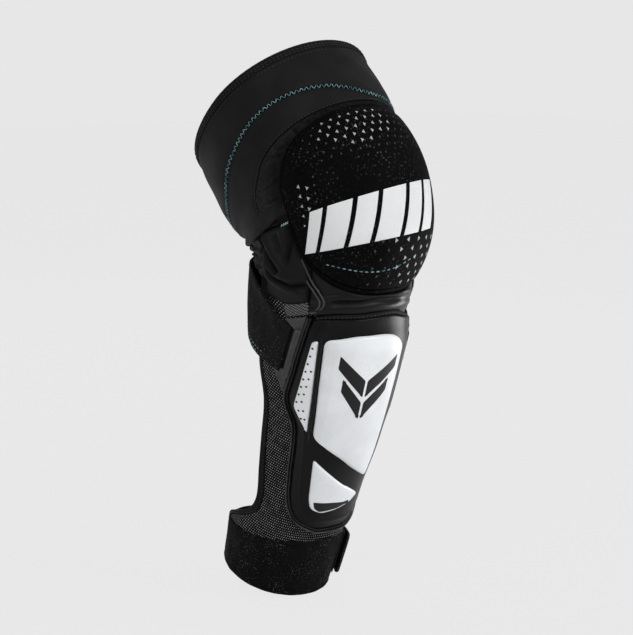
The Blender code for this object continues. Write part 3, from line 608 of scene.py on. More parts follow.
NEOPRENE = Finish("neoprene", "neoprene_black", (0.0052, 0.0052, 0.0055), (0.013, 0.013, 0.0135), 0.62,
                  Texture.THREADS, 1500, 1100, 300, 0.06, 0.35, specular=0.13, sheen=0.012, fold=0.85)
SLICK = Finish("slick_knit", "neoprene_black", (0.0026, 0.0026, 0.0028), (0.007, 0.007, 0.0074), 0.33,
               Texture.THREADS, 1500, 1100, 300, 0.02, 0.3, specular=0.18, fold=0.9)
TERRY = Finish("terry_knit", "neoprene_black", (0.0056, 0.0056, 0.0059), (0.07, 0.07, 0.071), 0.55,
               Texture.KNIT, 620, 620, 0, 0.22, 0.5, specular=0.2, fold=0.85)
CUP_KNIT = Finish("cup_knit", "cup_knit", (0.0017, 0.0017, 0.0019), (0.17, 0.17, 0.17), 0.74,
                  Texture.KNIT, 900, 900, 0, 0.10, 0.5, specular=0.045)
LINER = Finish("liner_jersey", "liner_jersey", (0.012, 0.012, 0.0125), (0.03, 0.03, 0.031), 0.92,
               Texture.THREADS, 900, 900, 0, 0.12, 0.6, specular=0.12, sheen=0.04)
FOAM = Finish("impact_foam", "impact_foam", (0.025, 0.025, 0.027), (0.045, 0.045, 0.047), 0.9,
              Texture.GRAIN, 900, depth=0.25, specular=0.12)
ELASTIC = Finish("strap_elastic", "elastic_black", (0.0055, 0.0055, 0.0058), (0.2, 0.2, 0.202), 0.82,
                 Texture.KNIT, 700, 420, 0, 0.22, 0.85, specular=0.11)
ANKLE_ELASTIC = Finish("ankle_elastic", "elastic_black", (0.0028, 0.0028, 0.0030), (0.22, 0.22, 0.222), 0.8,
                       Texture.KNIT, 520, 900, 0, 0.28, 0.9, specular=0.08)
BINDING = Finish("binding_tape", "binding_black", (0.0036, 0.0036, 0.0038), (0.010, 0.010, 0.0105), 0.66,
                 Texture.THREADS, 1100, 700, 500, 0.10, 0.4, specular=0.12)
PIPING = Finish("piping_cord", "binding_black", (0.024, 0.024, 0.025), (0.05, 0.05, 0.052), 0.3,
                Texture.GRAIN, 2200, depth=0.03, specular=0.6)
AIR_MESH = Finish("air_mesh", "air_mesh", (0.0028, 0.0028, 0.0030), (0.5, 0.5, 0.5), 0.8,
                  Texture.SPACER, 350, 410, 0, 0.35, 1, specular=0.1)
HATCH = Finish("hatched_mesh", "air_mesh", (0.0016, 0.0016, 0.0018), (0.2, 0.2, 0.2), 0.75,
               Texture.THREADS, 420, 420, 420, 0.5, 1, specular=0.08)
SHELL = Finish("shell_plastic", "shell_black", (0.0020, 0.0020, 0.0022), (0.005, 0.005, 0.0053), 0.34,
               Texture.GRAIN, 2600, depth=0.035, specular=0.15, wear_and_highlight=0.3)
RIM = Finish("rim_rubber", "rim_black", (0.0042, 0.0042, 0.0045), (0.011, 0.011, 0.0115), 0.34,
             Texture.GRAIN, 2200, depth=0.03, specular=0.4, wear_and_highlight=1)
WHITE = Finish("plate_white", "plate_white", (0.84, 0.86, 0.88), (0.76, 0.785, 0.81), 0.3,
               Texture.GRAIN, 900, depth=0.01, specular=0.42, coat=0.15, wear_and_highlight=0.12, cloud=0.1)
MARK = Finish("plate_mark", "shell_black", (0.004, 0.004, 0.0043), (0.009, 0.009, 0.0095), 0.36,
              Texture.GRAIN, 1800, depth=0.01, specular=0.26, coat=0.05)
WING = Finish("wing_rubber", "wing_grey", (0.040, 0.041, 0.043), (0.058, 0.058, 0.06), 0.52,
              Texture.GRAIN, 2400, depth=0.05, specular=0.3, wear_and_highlight=0.5)
TAB = Finish("tab_rubber", "tab_black", (0.006, 0.006, 0.0063), (0.016, 0.016, 0.0165), 0.55,
             Texture.GRAIN, 2200, depth=0.05, specular=0.25, wear_and_highlight=0.3)
HOOK = Finish("hook_tape", "hook_black", (0.006, 0.006, 0.006), (0.03, 0.03, 0.03), 0.7,
              Texture.SPACER, 700, 700, 0, 0.3, 0.8, specular=0.2)
LOOP = Finish("loop_tape", "loop_black", (0.007, 0.007, 0.0073), (0.025, 0.025, 0.026), 0.97,
              Texture.GRAIN, 1800, depth=0.35, specular=0.06, sheen=0.1)
GRIP = Finish("grip_silicone", "grip_silicone", (0.012, 0.012, 0.013), (0.03, 0.03, 0.031), 0.4,
              Texture.SPACER, 220, 220, 0, 0.6, 0.5, specular=0.4)
TEAL = Finish("teal_thread", "neoprene_black", (0.03, 0.14, 0.165), (0.34, 0.52, 0.54), 0.6,
              Texture.GRAIN, 260, depth=0.05, contrast=0.9, specular=0.25)
BLACK_THREAD = Finish("black_thread", "binding_black", (0.013, 0.013, 0.0135), (0.05, 0.05, 0.052), 0.6,
                      Texture.GRAIN, 700, depth=0.05, specular=0.3)
WHITE_PRINT = Finish("white_print", "cup_knit", (0.76, 0.77, 0.78), (0.66, 0.67, 0.68), 0.5,
                     Texture.THREADS, 900, 900, 0, 0.05, 0.3, specular=0.3, cloud=0.06)
PALE_PRINT = Finish("pale_print", "cup_knit", (0.45, 0.46, 0.46), (0.32, 0.32, 0.32), 0.55,
                    Texture.THREADS, 900, 900, 0, 0.05, 0.4, specular=0.25)
DIM_PRINT = Finish("dim_print", "cup_knit", (0.055, 0.056, 0.058), (0.035, 0.035, 0.035), 0.6,
                   Texture.THREADS, 900, 900, 0, 0.05, 0.4, specular=0.2)


class Graph:
    """A node tree that is being wired."""

    def __init__(self, tree: bpy.types.NodeTree) -> None:
        """Start wiring a node tree."""
        self.tree = tree

    def node(self, kind: str, **settings: object) -> bpy.types.Node:
        """Add a node and set its properties."""
        made = self.tree.nodes.new(kind)
        for key, value in settings.items():
            setattr(made, key, value)
        return made

    def feed(self, socket: Socket, value: Value) -> None:
        """Link a socket to another one, or set its own value."""
        if isinstance(value, bpy.types.NodeSocket):
            self.tree.links.new(value, socket)
        else:
            socket.default_value = value

    def math(self, operation: str, *values: Value) -> Socket:
        """Add a Math node and return its result."""
        made = self.node("ShaderNodeMath", operation=operation)
        for socket, value in zip(made.inputs, values):
            self.feed(socket, value)
        return made.outputs[0]

    def mix(self, share: Value, first: Value, second: Value) -> Socket:
        """Add a colour mix and return its result."""
        made = self.node("ShaderNodeMix", data_type="RGBA")
        for socket, value in ((made.inputs[0], share), (made.inputs[6], first), (made.inputs[7], second)):
            self.feed(socket, value)
        return made.outputs[2]

    def split(self, vector: Socket) -> tuple[Socket, Socket]:
        """Return the X and Y of a vector."""
        made = self.node("ShaderNodeSeparateXYZ")
        self.feed(made.inputs[0], vector)
        return made.outputs[0], made.outputs[1]

    def noise(self, vector: Socket, scale: Value, detail: float = 2.0) -> Socket:
        """Add a noise texture and return its value."""
        made = self.node("ShaderNodeTexNoise")
        self.feed(made.inputs["Vector"], vector)
        self.feed(made.inputs["Scale"], scale)
        made.inputs["Detail"].default_value = detail
        return made.outputs["Fac"]

    def ramp(self, value: Socket, low: float, high: float) -> Socket:
        """Stretch a value so that it goes from 0 at low to 1 at high."""
        made = self.node("ShaderNodeMapRange", interpolation_type="SMOOTHSTEP")
        self.feed(made.inputs["Value"], value)
        made.inputs["From Min"].default_value = low
        made.inputs["From Max"].default_value = high
        return made.outputs["Result"]


class FinishShop:
    """Makes the materials and the node groups that they share."""

    def __init__(self) -> None:
        """Start with no groups or materials made."""
        self.groups: dict[Texture, bpy.types.NodeTree] = {}
        self.materials: dict[str, bpy.types.Material] = {}

    def group(self, texture: Texture) -> bpy.types.NodeTree:
        """Return the node group of a texture, made on first use.

        Args:
            texture: Which pattern the group makes.

        Returns:
            A group that turns a place on the pattern into a height and a shade.
        """
        if texture not in self.groups:
            makers = {
                Texture.THREADS: self.threads,
                Texture.SPACER: self.spacer,
                Texture.KNIT: self.knit,
                Texture.GRAIN: self.grain,
            }
            tree = bpy.data.node_groups.new(texture.value, "ShaderNodeTree")
            for name, kind in (("Vector", "NodeSocketVector"), ("Across", "NodeSocketFloat"),
                               ("Along", "NodeSocketFloat"), ("Skew", "NodeSocketFloat")):
                tree.interface.new_socket(name, in_out="INPUT", socket_type=kind)
            for name in ("Height", "Shade"):
                tree.interface.new_socket(name, in_out="OUTPUT", socket_type="NodeSocketFloat")
            graph = Graph(tree)
            source = graph.node("NodeGroupInput")
            height, shade = makers[texture](graph, source)
            target = graph.node("NodeGroupOutput")
            graph.feed(target.inputs["Height"], height)
            graph.feed(target.inputs["Shade"], shade)
            self.groups[texture] = tree
        return self.groups[texture]

    def threads(self, graph: Graph, source: bpy.types.Node) -> tuple[Socket, Socket]:
        """Wire threads that pass over and under each other.

        Args:
            graph: The group that is being wired.
            source: Its input node.

        Returns:
            The height and the shade.
        """
        u, v = graph.split(source.outputs["Vector"])
        x = graph.math("ADD", graph.math("MULTIPLY", u, source.outputs["Across"]),
                       graph.math("MULTIPLY", v, source.outputs["Skew"]))
        y = graph.math("MULTIPLY", v, source.outputs["Along"])
        over = graph.math("ABSOLUTE", graph.math("SINE", graph.math("MULTIPLY", x, math.pi)))
        under = graph.math("ABSOLUTE", graph.math("SINE", graph.math("MULTIPLY", y, math.pi)))
        turn = graph.math("FLOORED_MODULO", graph.math("ADD", graph.math("FLOOR", x), graph.math("FLOOR", y)),
                          2)
        height = graph.math("ADD", graph.math("MULTIPLY", over, turn),
                            graph.math("MULTIPLY", under, graph.math("SUBTRACT", 1, turn)))
        return height, graph.math("POWER", height, 3)

    def spacer(self, graph: Graph, source: bpy.types.Node) -> tuple[Socket, Socket]:
        """Wire rows of small raised dots, each row half a step along from the last.

        Args:
            graph: The group that is being wired.
            source: Its input node.

        Returns:
            The height and the shade.
        """
        u, v = graph.split(source.outputs["Vector"])
        x = graph.math("MULTIPLY", u, source.outputs["Across"])
        y = graph.math("MULTIPLY", v, source.outputs["Along"])
        shift = graph.math("MULTIPLY", graph.math("FLOORED_MODULO", graph.math("FLOOR", y), 2), 0.5)
        inside_x = graph.math("SUBTRACT", graph.math("FRACT", graph.math("ADD", x, shift)), 0.5)
        inside_y = graph.math("SUBTRACT", graph.math("FRACT", y), 0.5)
        reach = graph.math("SQRT", graph.math("ADD", graph.math("MULTIPLY", inside_x, inside_x),
                                              graph.math("MULTIPLY", inside_y, inside_y)))
        dot = graph.math("SUBTRACT", 1, graph.ramp(reach, 0.11, 0.29))
        uneven = graph.ramp(graph.noise(source.outputs["Vector"], 160), 0.25, 0.75)
        return dot, graph.math("MULTIPLY", dot, graph.math("ADD", graph.math("MULTIPLY", uneven, 0.7), 0.3))

    def knit(self, graph: Graph, source: bpy.types.Node) -> tuple[Socket, Socket]:
        """Wire fine knitted loops with a few bright filaments among them.

        Args:
            graph: The group that is being wired.
            source: Its input node.

        Returns:
            The height and the shade.
        """
        u, v = graph.split(source.outputs["Vector"])
        x = graph.math("MULTIPLY", u, source.outputs["Across"])
        y = graph.math("MULTIPLY", v, source.outputs["Along"])
        loops = graph.math("MULTIPLY", graph.math("SINE", graph.math("MULTIPLY", x, math.tau)),
                           graph.math("SINE", graph.math("MULTIPLY", y, math.tau)))
        height = graph.math("ADD", graph.math("MULTIPLY", loops, 0.5), 0.5)
        spark = graph.ramp(graph.noise(source.outputs["Vector"], 620, 1), 0.60, 0.74)
        patches = graph.ramp(graph.noise(source.outputs["Vector"], 34, 2), 0.36, 0.66)
        spark = graph.math("MULTIPLY", spark, graph.math("ADD", graph.math("MULTIPLY", patches, 0.9), 0.1))
        return height, graph.math("MULTIPLY", spark,
                                  graph.math("ADD", graph.math("MULTIPLY", height, 0.6), 0.4))

    def grain(self, graph: Graph, source: bpy.types.Node) -> tuple[Socket, Socket]:
        """Wire a fine uneven grain.

        Args:
            graph: The group that is being wired.
            source: Its input node.

        Returns:
            The height and the shade.
        """
        fine = graph.noise(source.outputs["Vector"], source.outputs["Across"], 3)
        return fine, graph.ramp(fine, 0.35, 0.7)

    def material(self, finish: Finish) -> bpy.types.Material:
        """Return the material of a finish, made on first use.

        Args:
            finish: The finish to make.

        Returns:
            A material with a pattern, uneven colour, rubbed edges and ridge crests lightened partly as
            painted highlight, painted shade in folds, and a bump.
        """
        if finish.name in self.materials:
            return self.materials[finish.name]
        made = bpy.data.materials.new(finish.name)
        made.use_nodes = True
        graph = Graph(made.node_tree)
        shader = made.node_tree.nodes["Principled BSDF"]
        place = graph.node("ShaderNodeTexCoord")
        laid = place.outputs["Object"] if finish.texture is Texture.GRAIN else place.outputs["UV"]
        surface = graph.node("ShaderNodeGroup", node_tree=self.group(finish.texture))
        graph.feed(surface.inputs["Vector"], laid)
        for name, value in (("Across", finish.across), ("Along", finish.along), ("Skew", finish.skew)):
            surface.inputs[name].default_value = value
        shade = graph.math("MULTIPLY", surface.outputs["Shade"], finish.contrast)
        colour = graph.mix(shade, (*finish.colour, 1), (*finish.accent, 1))
        clouds = graph.ramp(graph.noise(place.outputs["Object"], 38, 4), 0.3, 0.7)
        dim = graph.math("SUBTRACT", 1, graph.math("MULTIPLY", clouds, finish.cloud))
        tone = graph.node("ShaderNodeHueSaturation")
        graph.feed(tone.inputs["Color"], colour)
        graph.feed(tone.inputs["Value"], dim)
        colour = tone.outputs["Color"]
        # Rubbed edges with painted highlight: patches near open edges, and on the crests of swept sections,
        # are lightened, partly for rubbing and partly for light caught on edges and ridges.
        if finish.wear_and_highlight > 0:
            edge = graph.node("ShaderNodeAttribute", attribute_name="edge")
            wear_and_highlight_patches = graph.ramp(graph.noise(place.outputs["Object"], 210, 3), 0.42, 0.72)
            worn_and_lit = graph.math("MULTIPLY", graph.math("MULTIPLY", edge.outputs["Fac"], wear_and_highlight_patches), finish.wear_and_highlight)
            wear_highlight_colour = tuple(min(1, value * 2.2 + 0.02) for value in finish.colour)
            colour = graph.mix(worn_and_lit, colour, (*wear_highlight_colour, 1))
        gloss = graph.math("ADD", graph.math("MULTIPLY", clouds, 0.08), finish.roughness - 0.04)
        # Painted shade: the fold attribute darkens the colour to near black, and roughens it, in folds,
        # creases, along seams and towards the cup's edge.
        if finish.fold > 0:
            painted_crease_shade = graph.node("ShaderNodeAttribute", attribute_name="fold")
            deep = graph.math("MULTIPLY", painted_crease_shade.outputs["Fac"], finish.fold)
            colour = graph.mix(deep, colour, (0.0005, 0.0005, 0.0006, 1))
            gloss = graph.math("ADD", gloss, graph.math("MULTIPLY", deep, 0.35))
        graph.feed(shader.inputs["Base Color"], colour)
        graph.feed(shader.inputs["Roughness"], gloss)
        relief = graph.node("ShaderNodeBump")
        relief.inputs["Strength"].default_value = 1.0
        relief.inputs["Distance"].default_value = finish.depth * MM
        graph.feed(relief.inputs["Height"], surface.outputs["Height"])
        graph.feed(shader.inputs["Normal"], relief.outputs["Normal"])
        for name, value in (("Specular IOR Level", finish.specular), ("Sheen Weight", finish.sheen),
                            ("Coat Weight", finish.coat)):
            shader.inputs[name].default_value = value
        self.materials[finish.name] = made
        return made


@dataclass
class Bench:
    """The cutting table and sewing bench: turns patterns into finished pieces."""

    leg: LegForm
    cut: Cut
    shop: FinishShop
    sewing_gap: float = 1e-6
    wear_and_highlight_reach: float = 2.2
    sharp_angle: float = 48.0
    rim_share: float = 0.3
    no_edge: float = 1000.0
    flats: dict = field(default_factory=dict)

    def select(self, item: Item) -> None:
        """Make one object the only selected one."""
        bpy.ops.object.select_all(action="DESELECT")
        item.select_set(True)
        bpy.context.view_layer.objects.active = item

    def grid(self, name: str, rows: Array) -> tuple[Item, Array, Array]:
        """Add a grid with a vertex for each pattern point.

        Args:
            name: The new object's name.
            rows: The pattern grid, in rows.

        Returns:
            The object, and the row and the column of each of its vertices.
        """
        bpy.ops.object.select_all(action="DESELECT")
        count = (rows.shape[1] - 1, rows.shape[0] - 1)
        bpy.ops.mesh.primitive_grid_add(x_subdivisions=count[0], y_subdivisions=count[1], size=1)
        item = bpy.context.object
        item.name = name
        item.data.name = name
        place = self.places(item) + 0.5
        return item, np.rint(place[:, 1] * count[1]).astype(int), np.rint(place[:, 0] * count[0]).astype(int)

    def places(self, item: Item) -> Array:
        """Return a mesh's vertex places."""
        place = np.empty(len(item.data.vertices) * 3)
        item.data.vertices.foreach_get("co", place)
        return place.reshape(-1, 3)

    def put(self, item: Item, place: Array) -> None:
        """Set a mesh's vertex places."""
        item.data.vertices.foreach_set("co", np.ascontiguousarray(place, dtype=np.float32).ravel())
        item.data.update()

    def note(self, item: Item, name: str, values: Array) -> None:
        """Store a number for each vertex."""
        layer = item.data.attributes.get(name) or item.data.attributes.new(name, "FLOAT", "POINT")
        layer.data.foreach_set("value", np.ascontiguousarray(values, dtype=np.float32))

    def noted(self, item: Item, name: str) -> Array:
        """Read a number stored for each vertex."""
        values = np.empty(len(item.data.vertices), dtype=np.float32)
        item.data.attributes[name].data.foreach_get("value", values)
        return values.astype(float)

    def lay_uv(self, item: Item, angle: Array, height: Array) -> None:
        """Lay the texture out flat, in metres, as the pattern is cut."""
        layer = item.data.uv_layers.active or item.data.uv_layers.new(name="pattern")
        corner = np.empty(len(item.data.loops), dtype=np.int32)
        item.data.loops.foreach_get("vertex_index", corner)
        flat_place = np.column_stack((angle[corner] * MEAN_PITCH, height[corner])) * MM
        layer.data.foreach_set("uv", flat_place.astype(np.float32).ravel())

    def close_up(self, item: Item, fill: bool = False, sew: bool = True) -> None:
        """Close a mesh and turn its faces outward.

        Args:
            item: The mesh to close.
            fill: Whether open ends get a cap.
            sew: Whether meeting edges are sewn together.
        """
        self.select(item)
        bpy.ops.object.mode_set(mode="EDIT")
        bpy.ops.mesh.select_all(action="SELECT")
        if sew:
            bpy.ops.mesh.remove_doubles(threshold=self.sewing_gap)
        if fill:
            bpy.ops.mesh.select_all(action="DESELECT")
            bpy.ops.mesh.select_non_manifold()
            bpy.ops.mesh.fill_holes(sides=0)
            bpy.ops.mesh.select_all(action="SELECT")
        bpy.ops.mesh.normals_make_consistent(inside=False)
        bpy.ops.object.mode_set(mode="OBJECT")

    def edge_distance(self, item: Item) -> Array:
        """Measure how far each vertex is from the sheet's open edge.

        Args:
            item: The sheet.

        Returns:
            The distances in millimetres.
        """
        mesh = item.data
        uses = np.empty(len(mesh.loops), dtype=np.int32)
        mesh.loops.foreach_get("edge_index", uses)
        ends = np.empty(len(mesh.edges) * 2, dtype=np.int32)
        mesh.edges.foreach_get("vertices", ends)
        open_edges = np.bincount(uses, minlength=len(mesh.edges)) == 1
        rim = np.unique(ends.reshape(-1, 2)[open_edges])
        place = self.places(item)
        if not len(rim):
            return np.full(len(place), self.no_edge)
        tree = KDTree(len(rim))
        for index in rim:
            tree.insert(place[index], int(index))
        tree.balance()
        return np.array([tree.find(point)[2] for point in place]) / MM

    def wall(self, piece: Piece, rows: Array, inner: Level, outer: Level, rim: float = 1.2,
             relief: Optional[Relief] = None, fold: Optional[Relief] = None) -> Item:
        """Wrap a pattern on the leg as a closed wall with rolled edges.

        Args:
            piece: What to make.
            rows: The pattern grid.
            inner: The lift of the inner face.
            outer: The lift of the outer face.
            rim: How far from its edge the outer face rolls down.
            relief: What to add to the outer face, from angle, height and distance to the edge.
            fold: How deep the painted shade of folds and seams on the outer face is, from 0 to 1, from the
                same.

        Returns:
            The new mesh.
        """
        item, row, column = self.grid(piece.name, rows)
        angle, height = rows[row, column].T
        self.lay_uv(item, angle, height)
        self.note(item, "angle", angle)
        self.note(item, "height", height)
        self.put(item, self.leg.wrap(angle, height, lift_of(inner)(angle, height)))
        self.close_up(item)
        edge = self.edge_distance(item)
        # The edge attribute marks open edges for the rubbed edges with painted highlight.
        self.note(item, "edge", bump(edge, self.wear_and_highlight_reach))
        self.note(item, "reach", edge)
        self.flats[piece.name] = self.flat_size(rows)
        self.select(item)
        modifier = item.modifiers.new("wall", "SOLIDIFY")
        modifier.thickness = MM
        modifier.offset = -1
        bpy.ops.object.modifier_apply(modifier=modifier.name)
        angle, height, reach = (self.noted(item, name) for name in ("angle", "height", "reach"))
        half = len(angle) // 2
        low = lift_of(inner)(angle, height)
        high = lift_of(outer)(angle, height)
        if relief is not None:
            high = high + relief(angle, height, reach)
        # Store the painted shade of folds and seams for the material.
        if fold is not None:
            self.note(item, "fold", np.clip(fold(angle, height, reach), 0, 1))
        t = np.clip(reach / rim, 0, 1)
        roll = self.rim_share + (1 - self.rim_share) * np.sqrt(1 - (1 - t) ** 2)
        lift = low + (high - low) * roll
        lift[half:] = low[half:]
        self.put(item, self.leg.wrap(angle, height, lift))
        self.close_up(item)
        return self.dress(item, piece)

    def flat_size(self, rows: Array) -> tuple[float, float, float]:
        """Measure a pattern as it is laid flat.

        Args:
            rows: The pattern grid.

        Returns:
            Its width and length in metres and its area in square metres.
        """
        points = self.leg.wrap(rows[..., 0].ravel(), rows[..., 1].ravel(), np.zeros(rows[..., 0].size))
        points = points.reshape(rows.shape[0], rows.shape[1], 3)
        down = np.diff(points, axis=0)
        over = np.diff(points, axis=1)
        area = float(np.linalg.norm(np.cross(down[:, :-1], over[:-1]), axis=2).sum())
        width = float(np.median(np.linalg.norm(down, axis=2).sum(axis=0)))
        length = max(float(np.linalg.norm(over, axis=2).sum(axis=1).mean()), area / width)
        return width, length, area

    def sweep(self, piece: Piece, path: Array, section: Points, lift: Level, closed: bool = False) -> Item:
        """Draw a closed section along a path on the leg.

        Args:
            piece: What to make.
            path: The path's pattern points.
            section: The section's points: how far to the side, and how far above the lift.
            lift: The lift of the path.
            closed: Whether the path runs round to its start.

        Returns:
            The new mesh.
        """
        path = np.asarray(path, float)
        section = np.asarray(section, float)
        section = np.vstack((section, section[:1]))
        pitch = self.leg.pitch(path[:, 0], path[:, 1])
        flat_path = path * np.column_stack((pitch, np.ones(len(path))))
        if closed:
            run = np.roll(flat_path[:-1], -1, axis=0) - np.roll(flat_path[:-1], 1, axis=0)
            run = np.vstack((run, run[:1]))
        else:
            run = np.gradient(flat_path, axis=0)
        run /= np.linalg.norm(run, axis=1)[:, None]
        aside = np.column_stack((run[:, 1] / pitch, -run[:, 0]))
        rows = path[None] + section[:, None, :1] * aside[None]
        item, row, column = self.grid(piece.name, rows)
        base = lift_of(lift)(*path.T)
        angle, height = rows[row, column].T
        self.lay_uv(item, angle, height)
        self.put(item, self.leg.wrap(angle, height, base[column] + section[row, 1]))
        # On a sweep the edge attribute marks the section's crest, lightened partly as painted highlight.
        self.note(item, "edge", np.clip(section[row, 1] / max(section[:, 1].max(), 1e-6), 0, 1) ** 3)
        self.close_up(item, fill=not closed)
        return self.dress(item, piece)

    def copies(self, piece: Piece, places: Array, turns: Array, sizes: Array, lift: Level,
               triangle: bool = False) -> Item:
        """Model one small unit, repeat it and lay each copy on the leg.

        Args:
            piece: What to make.
            places: The pattern point of each copy.
            turns: The turn of each copy in radians.
            sizes: The half length, half width and half height of each copy, in millimetres.
            lift: The lift of the surface that the copies lie on.
            triangle: Whether the unit is a flat triangle instead of a rounded stitch.

        Returns:
            The new mesh.
        """
        bpy.ops.object.select_all(action="DESELECT")
        if triangle:
            bpy.ops.mesh.primitive_cone_add(vertices=3, radius1=1, radius2=0.86, depth=2)
        else:
            bpy.ops.mesh.primitive_uv_sphere_add(segments=8, ring_count=5, radius=1,
                                                 rotation=(0, math.pi / 2, 0))
            bpy.ops.object.transform_apply(location=False, rotation=True, scale=False)
        item = bpy.context.object
        item.name = piece.name
        item.data.name = piece.name
        unit = self.places(item)
        modifier = item.modifiers.new("row", "ARRAY")
        modifier.count = len(places)
        modifier.use_relative_offset = False
        modifier.use_constant_offset = True
        modifier.constant_offset_displace = (4, 0, 0)
        bpy.ops.object.modifier_apply(modifier=modifier.name)
        local = unit[None] * sizes[:, None]
        turns = turns[:, None]
        along = local[..., 0] * np.cos(turns) - local[..., 1] * np.sin(turns)
        across = local[..., 0] * np.sin(turns) + local[..., 1] * np.cos(turns)
        pitch = self.leg.pitch(places[:, 0], places[:, 1])[:, None]
        angle = (places[:, :1] + along / pitch).ravel()
        height = (places[:, 1:] + across).ravel()
        self.put(item, self.leg.wrap(angle, height, lift_of(lift)(angle, height) + local[..., 2].ravel()))
        self.lay_uv(item, angle, height)
        self.close_up(item, sew=False)
        return self.dress(item, piece)

    def stitches(self, piece: Piece, path: Points, lift: Level, length: float, gap: float, thread: float,
                 zigzag: float = 0.0) -> Item:
        """Sew a row of stitches along a path.

        Args:
            piece: What to make.
            path: The path's pattern points.
            lift: The lift of the fabric.
            length: How long a stitch is.
            gap: How far apart the stitches are.
            thread: The thread's radius.
            zigzag: How far each stitch turns from the path, in degrees, to one side and then the other.

        Returns:
            The new mesh.
        """
        path = np.asarray(path, float)
        pitch = self.leg.pitch(path[:, 0], path[:, 1])
        steps = np.diff(path, axis=0) * np.column_stack((pitch[1:], np.ones(len(path) - 1)))
        far = np.concatenate(((0,), np.cumsum(np.hypot(steps[:, 0], steps[:, 1]))))
        step = length * math.cos(math.radians(zigzag)) + gap
        count = max(int(far[-1] / step), 2)
        middle = (np.arange(count) + 0.5) * far[-1] / count
        places = np.column_stack([np.interp(middle, far, path[:, axis]) for axis in (0, 1)])
        heading = np.unwrap(np.arctan2(steps[:, 1], steps[:, 0]))
        turn = np.interp(middle, (far[1:] + far[:-1]) / 2, heading)
        turn = turn + math.radians(zigzag) * np.where(np.arange(count) % 2, 1, -1)
        sizes = np.tile((length / 2, thread * 1.25, thread), (count, 1))
        return self.copies(piece, places, turn, sizes, lift)

    def dress(self, item: Item, piece: Piece) -> Item:
        """Shade a mesh smooth, give it its finish and fasten it to its body.

        Args:
            item: The mesh.
            piece: What it is.

        Returns:
            The mesh.
        """
        self.select(item)
        bpy.ops.object.shade_smooth_by_angle(angle=math.radians(self.sharp_angle))
        item.data.materials.clear()
        item.data.materials.append(self.shop.material(piece.finish))
        if piece.node:
            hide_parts(piece.node)
        piece.motion.attach(item)
        LOG.info("%s: %d faces, %s", item.name, len(item.data.polygons), piece.finish.name)
        return item

    def declare_sheet(self, item: Item, *rests_on: str, trims: Sequence[Item] = ()) -> None:
        """Take a piece that is stretched cloth, cut to its pattern's flat size; nothing is done with it.

        Args:
            item: The cloth; not used.
            rests_on: The names of the pieces that it lies on; not used.
            trims: The separate pieces sewn to it; not used.
        """


@dataclass
class Armour:
    """What the shin and the cup share: a jersey liner under a crowned foam pad."""

    bench: Bench
    liner_wall: float = 1.5
    clearance: float = 0.4
    foam_edge: float = 2.0
    foam_core: float = 8.6

    def crown(self, angle: Array, height: Array) -> Array:
        """Return 0 where the foam is thinnest and 1 where it is thickest."""
        raise NotImplementedError

    def foam_face(self, angle: Array, height: Array) -> Array:
        """Return the lift of the foam's crowned outer face."""
        thick = self.foam_edge + (self.foam_core - self.foam_edge) * self.crown(angle, height)
        return self.liner_wall + self.clearance + thick

    def build_core(self, word: str, motion: Motion, outline: Array) -> None:
        """Build the liner and the foam.

        Args:
            word: Which armour it is.
            motion: How it moves.
            outline: Its outline on the pattern.
        """
        bench = self.bench
        liner = bench.wall(Piece(f"{word}_liner_cloth", LINER, motion, f"{word}_liner"), patch(outline, 3), 0,
                           self.liner_wall, 0.8)
        bench.declare_sheet(liner, f"{word}_foam_pad")
        foam = bench.wall(Piece(f"{word}_foam_pad", FOAM, motion, f"{word}_foam"), patch(outline, 3),
                          self.liner_wall + self.clearance, self.foam_face, 1)


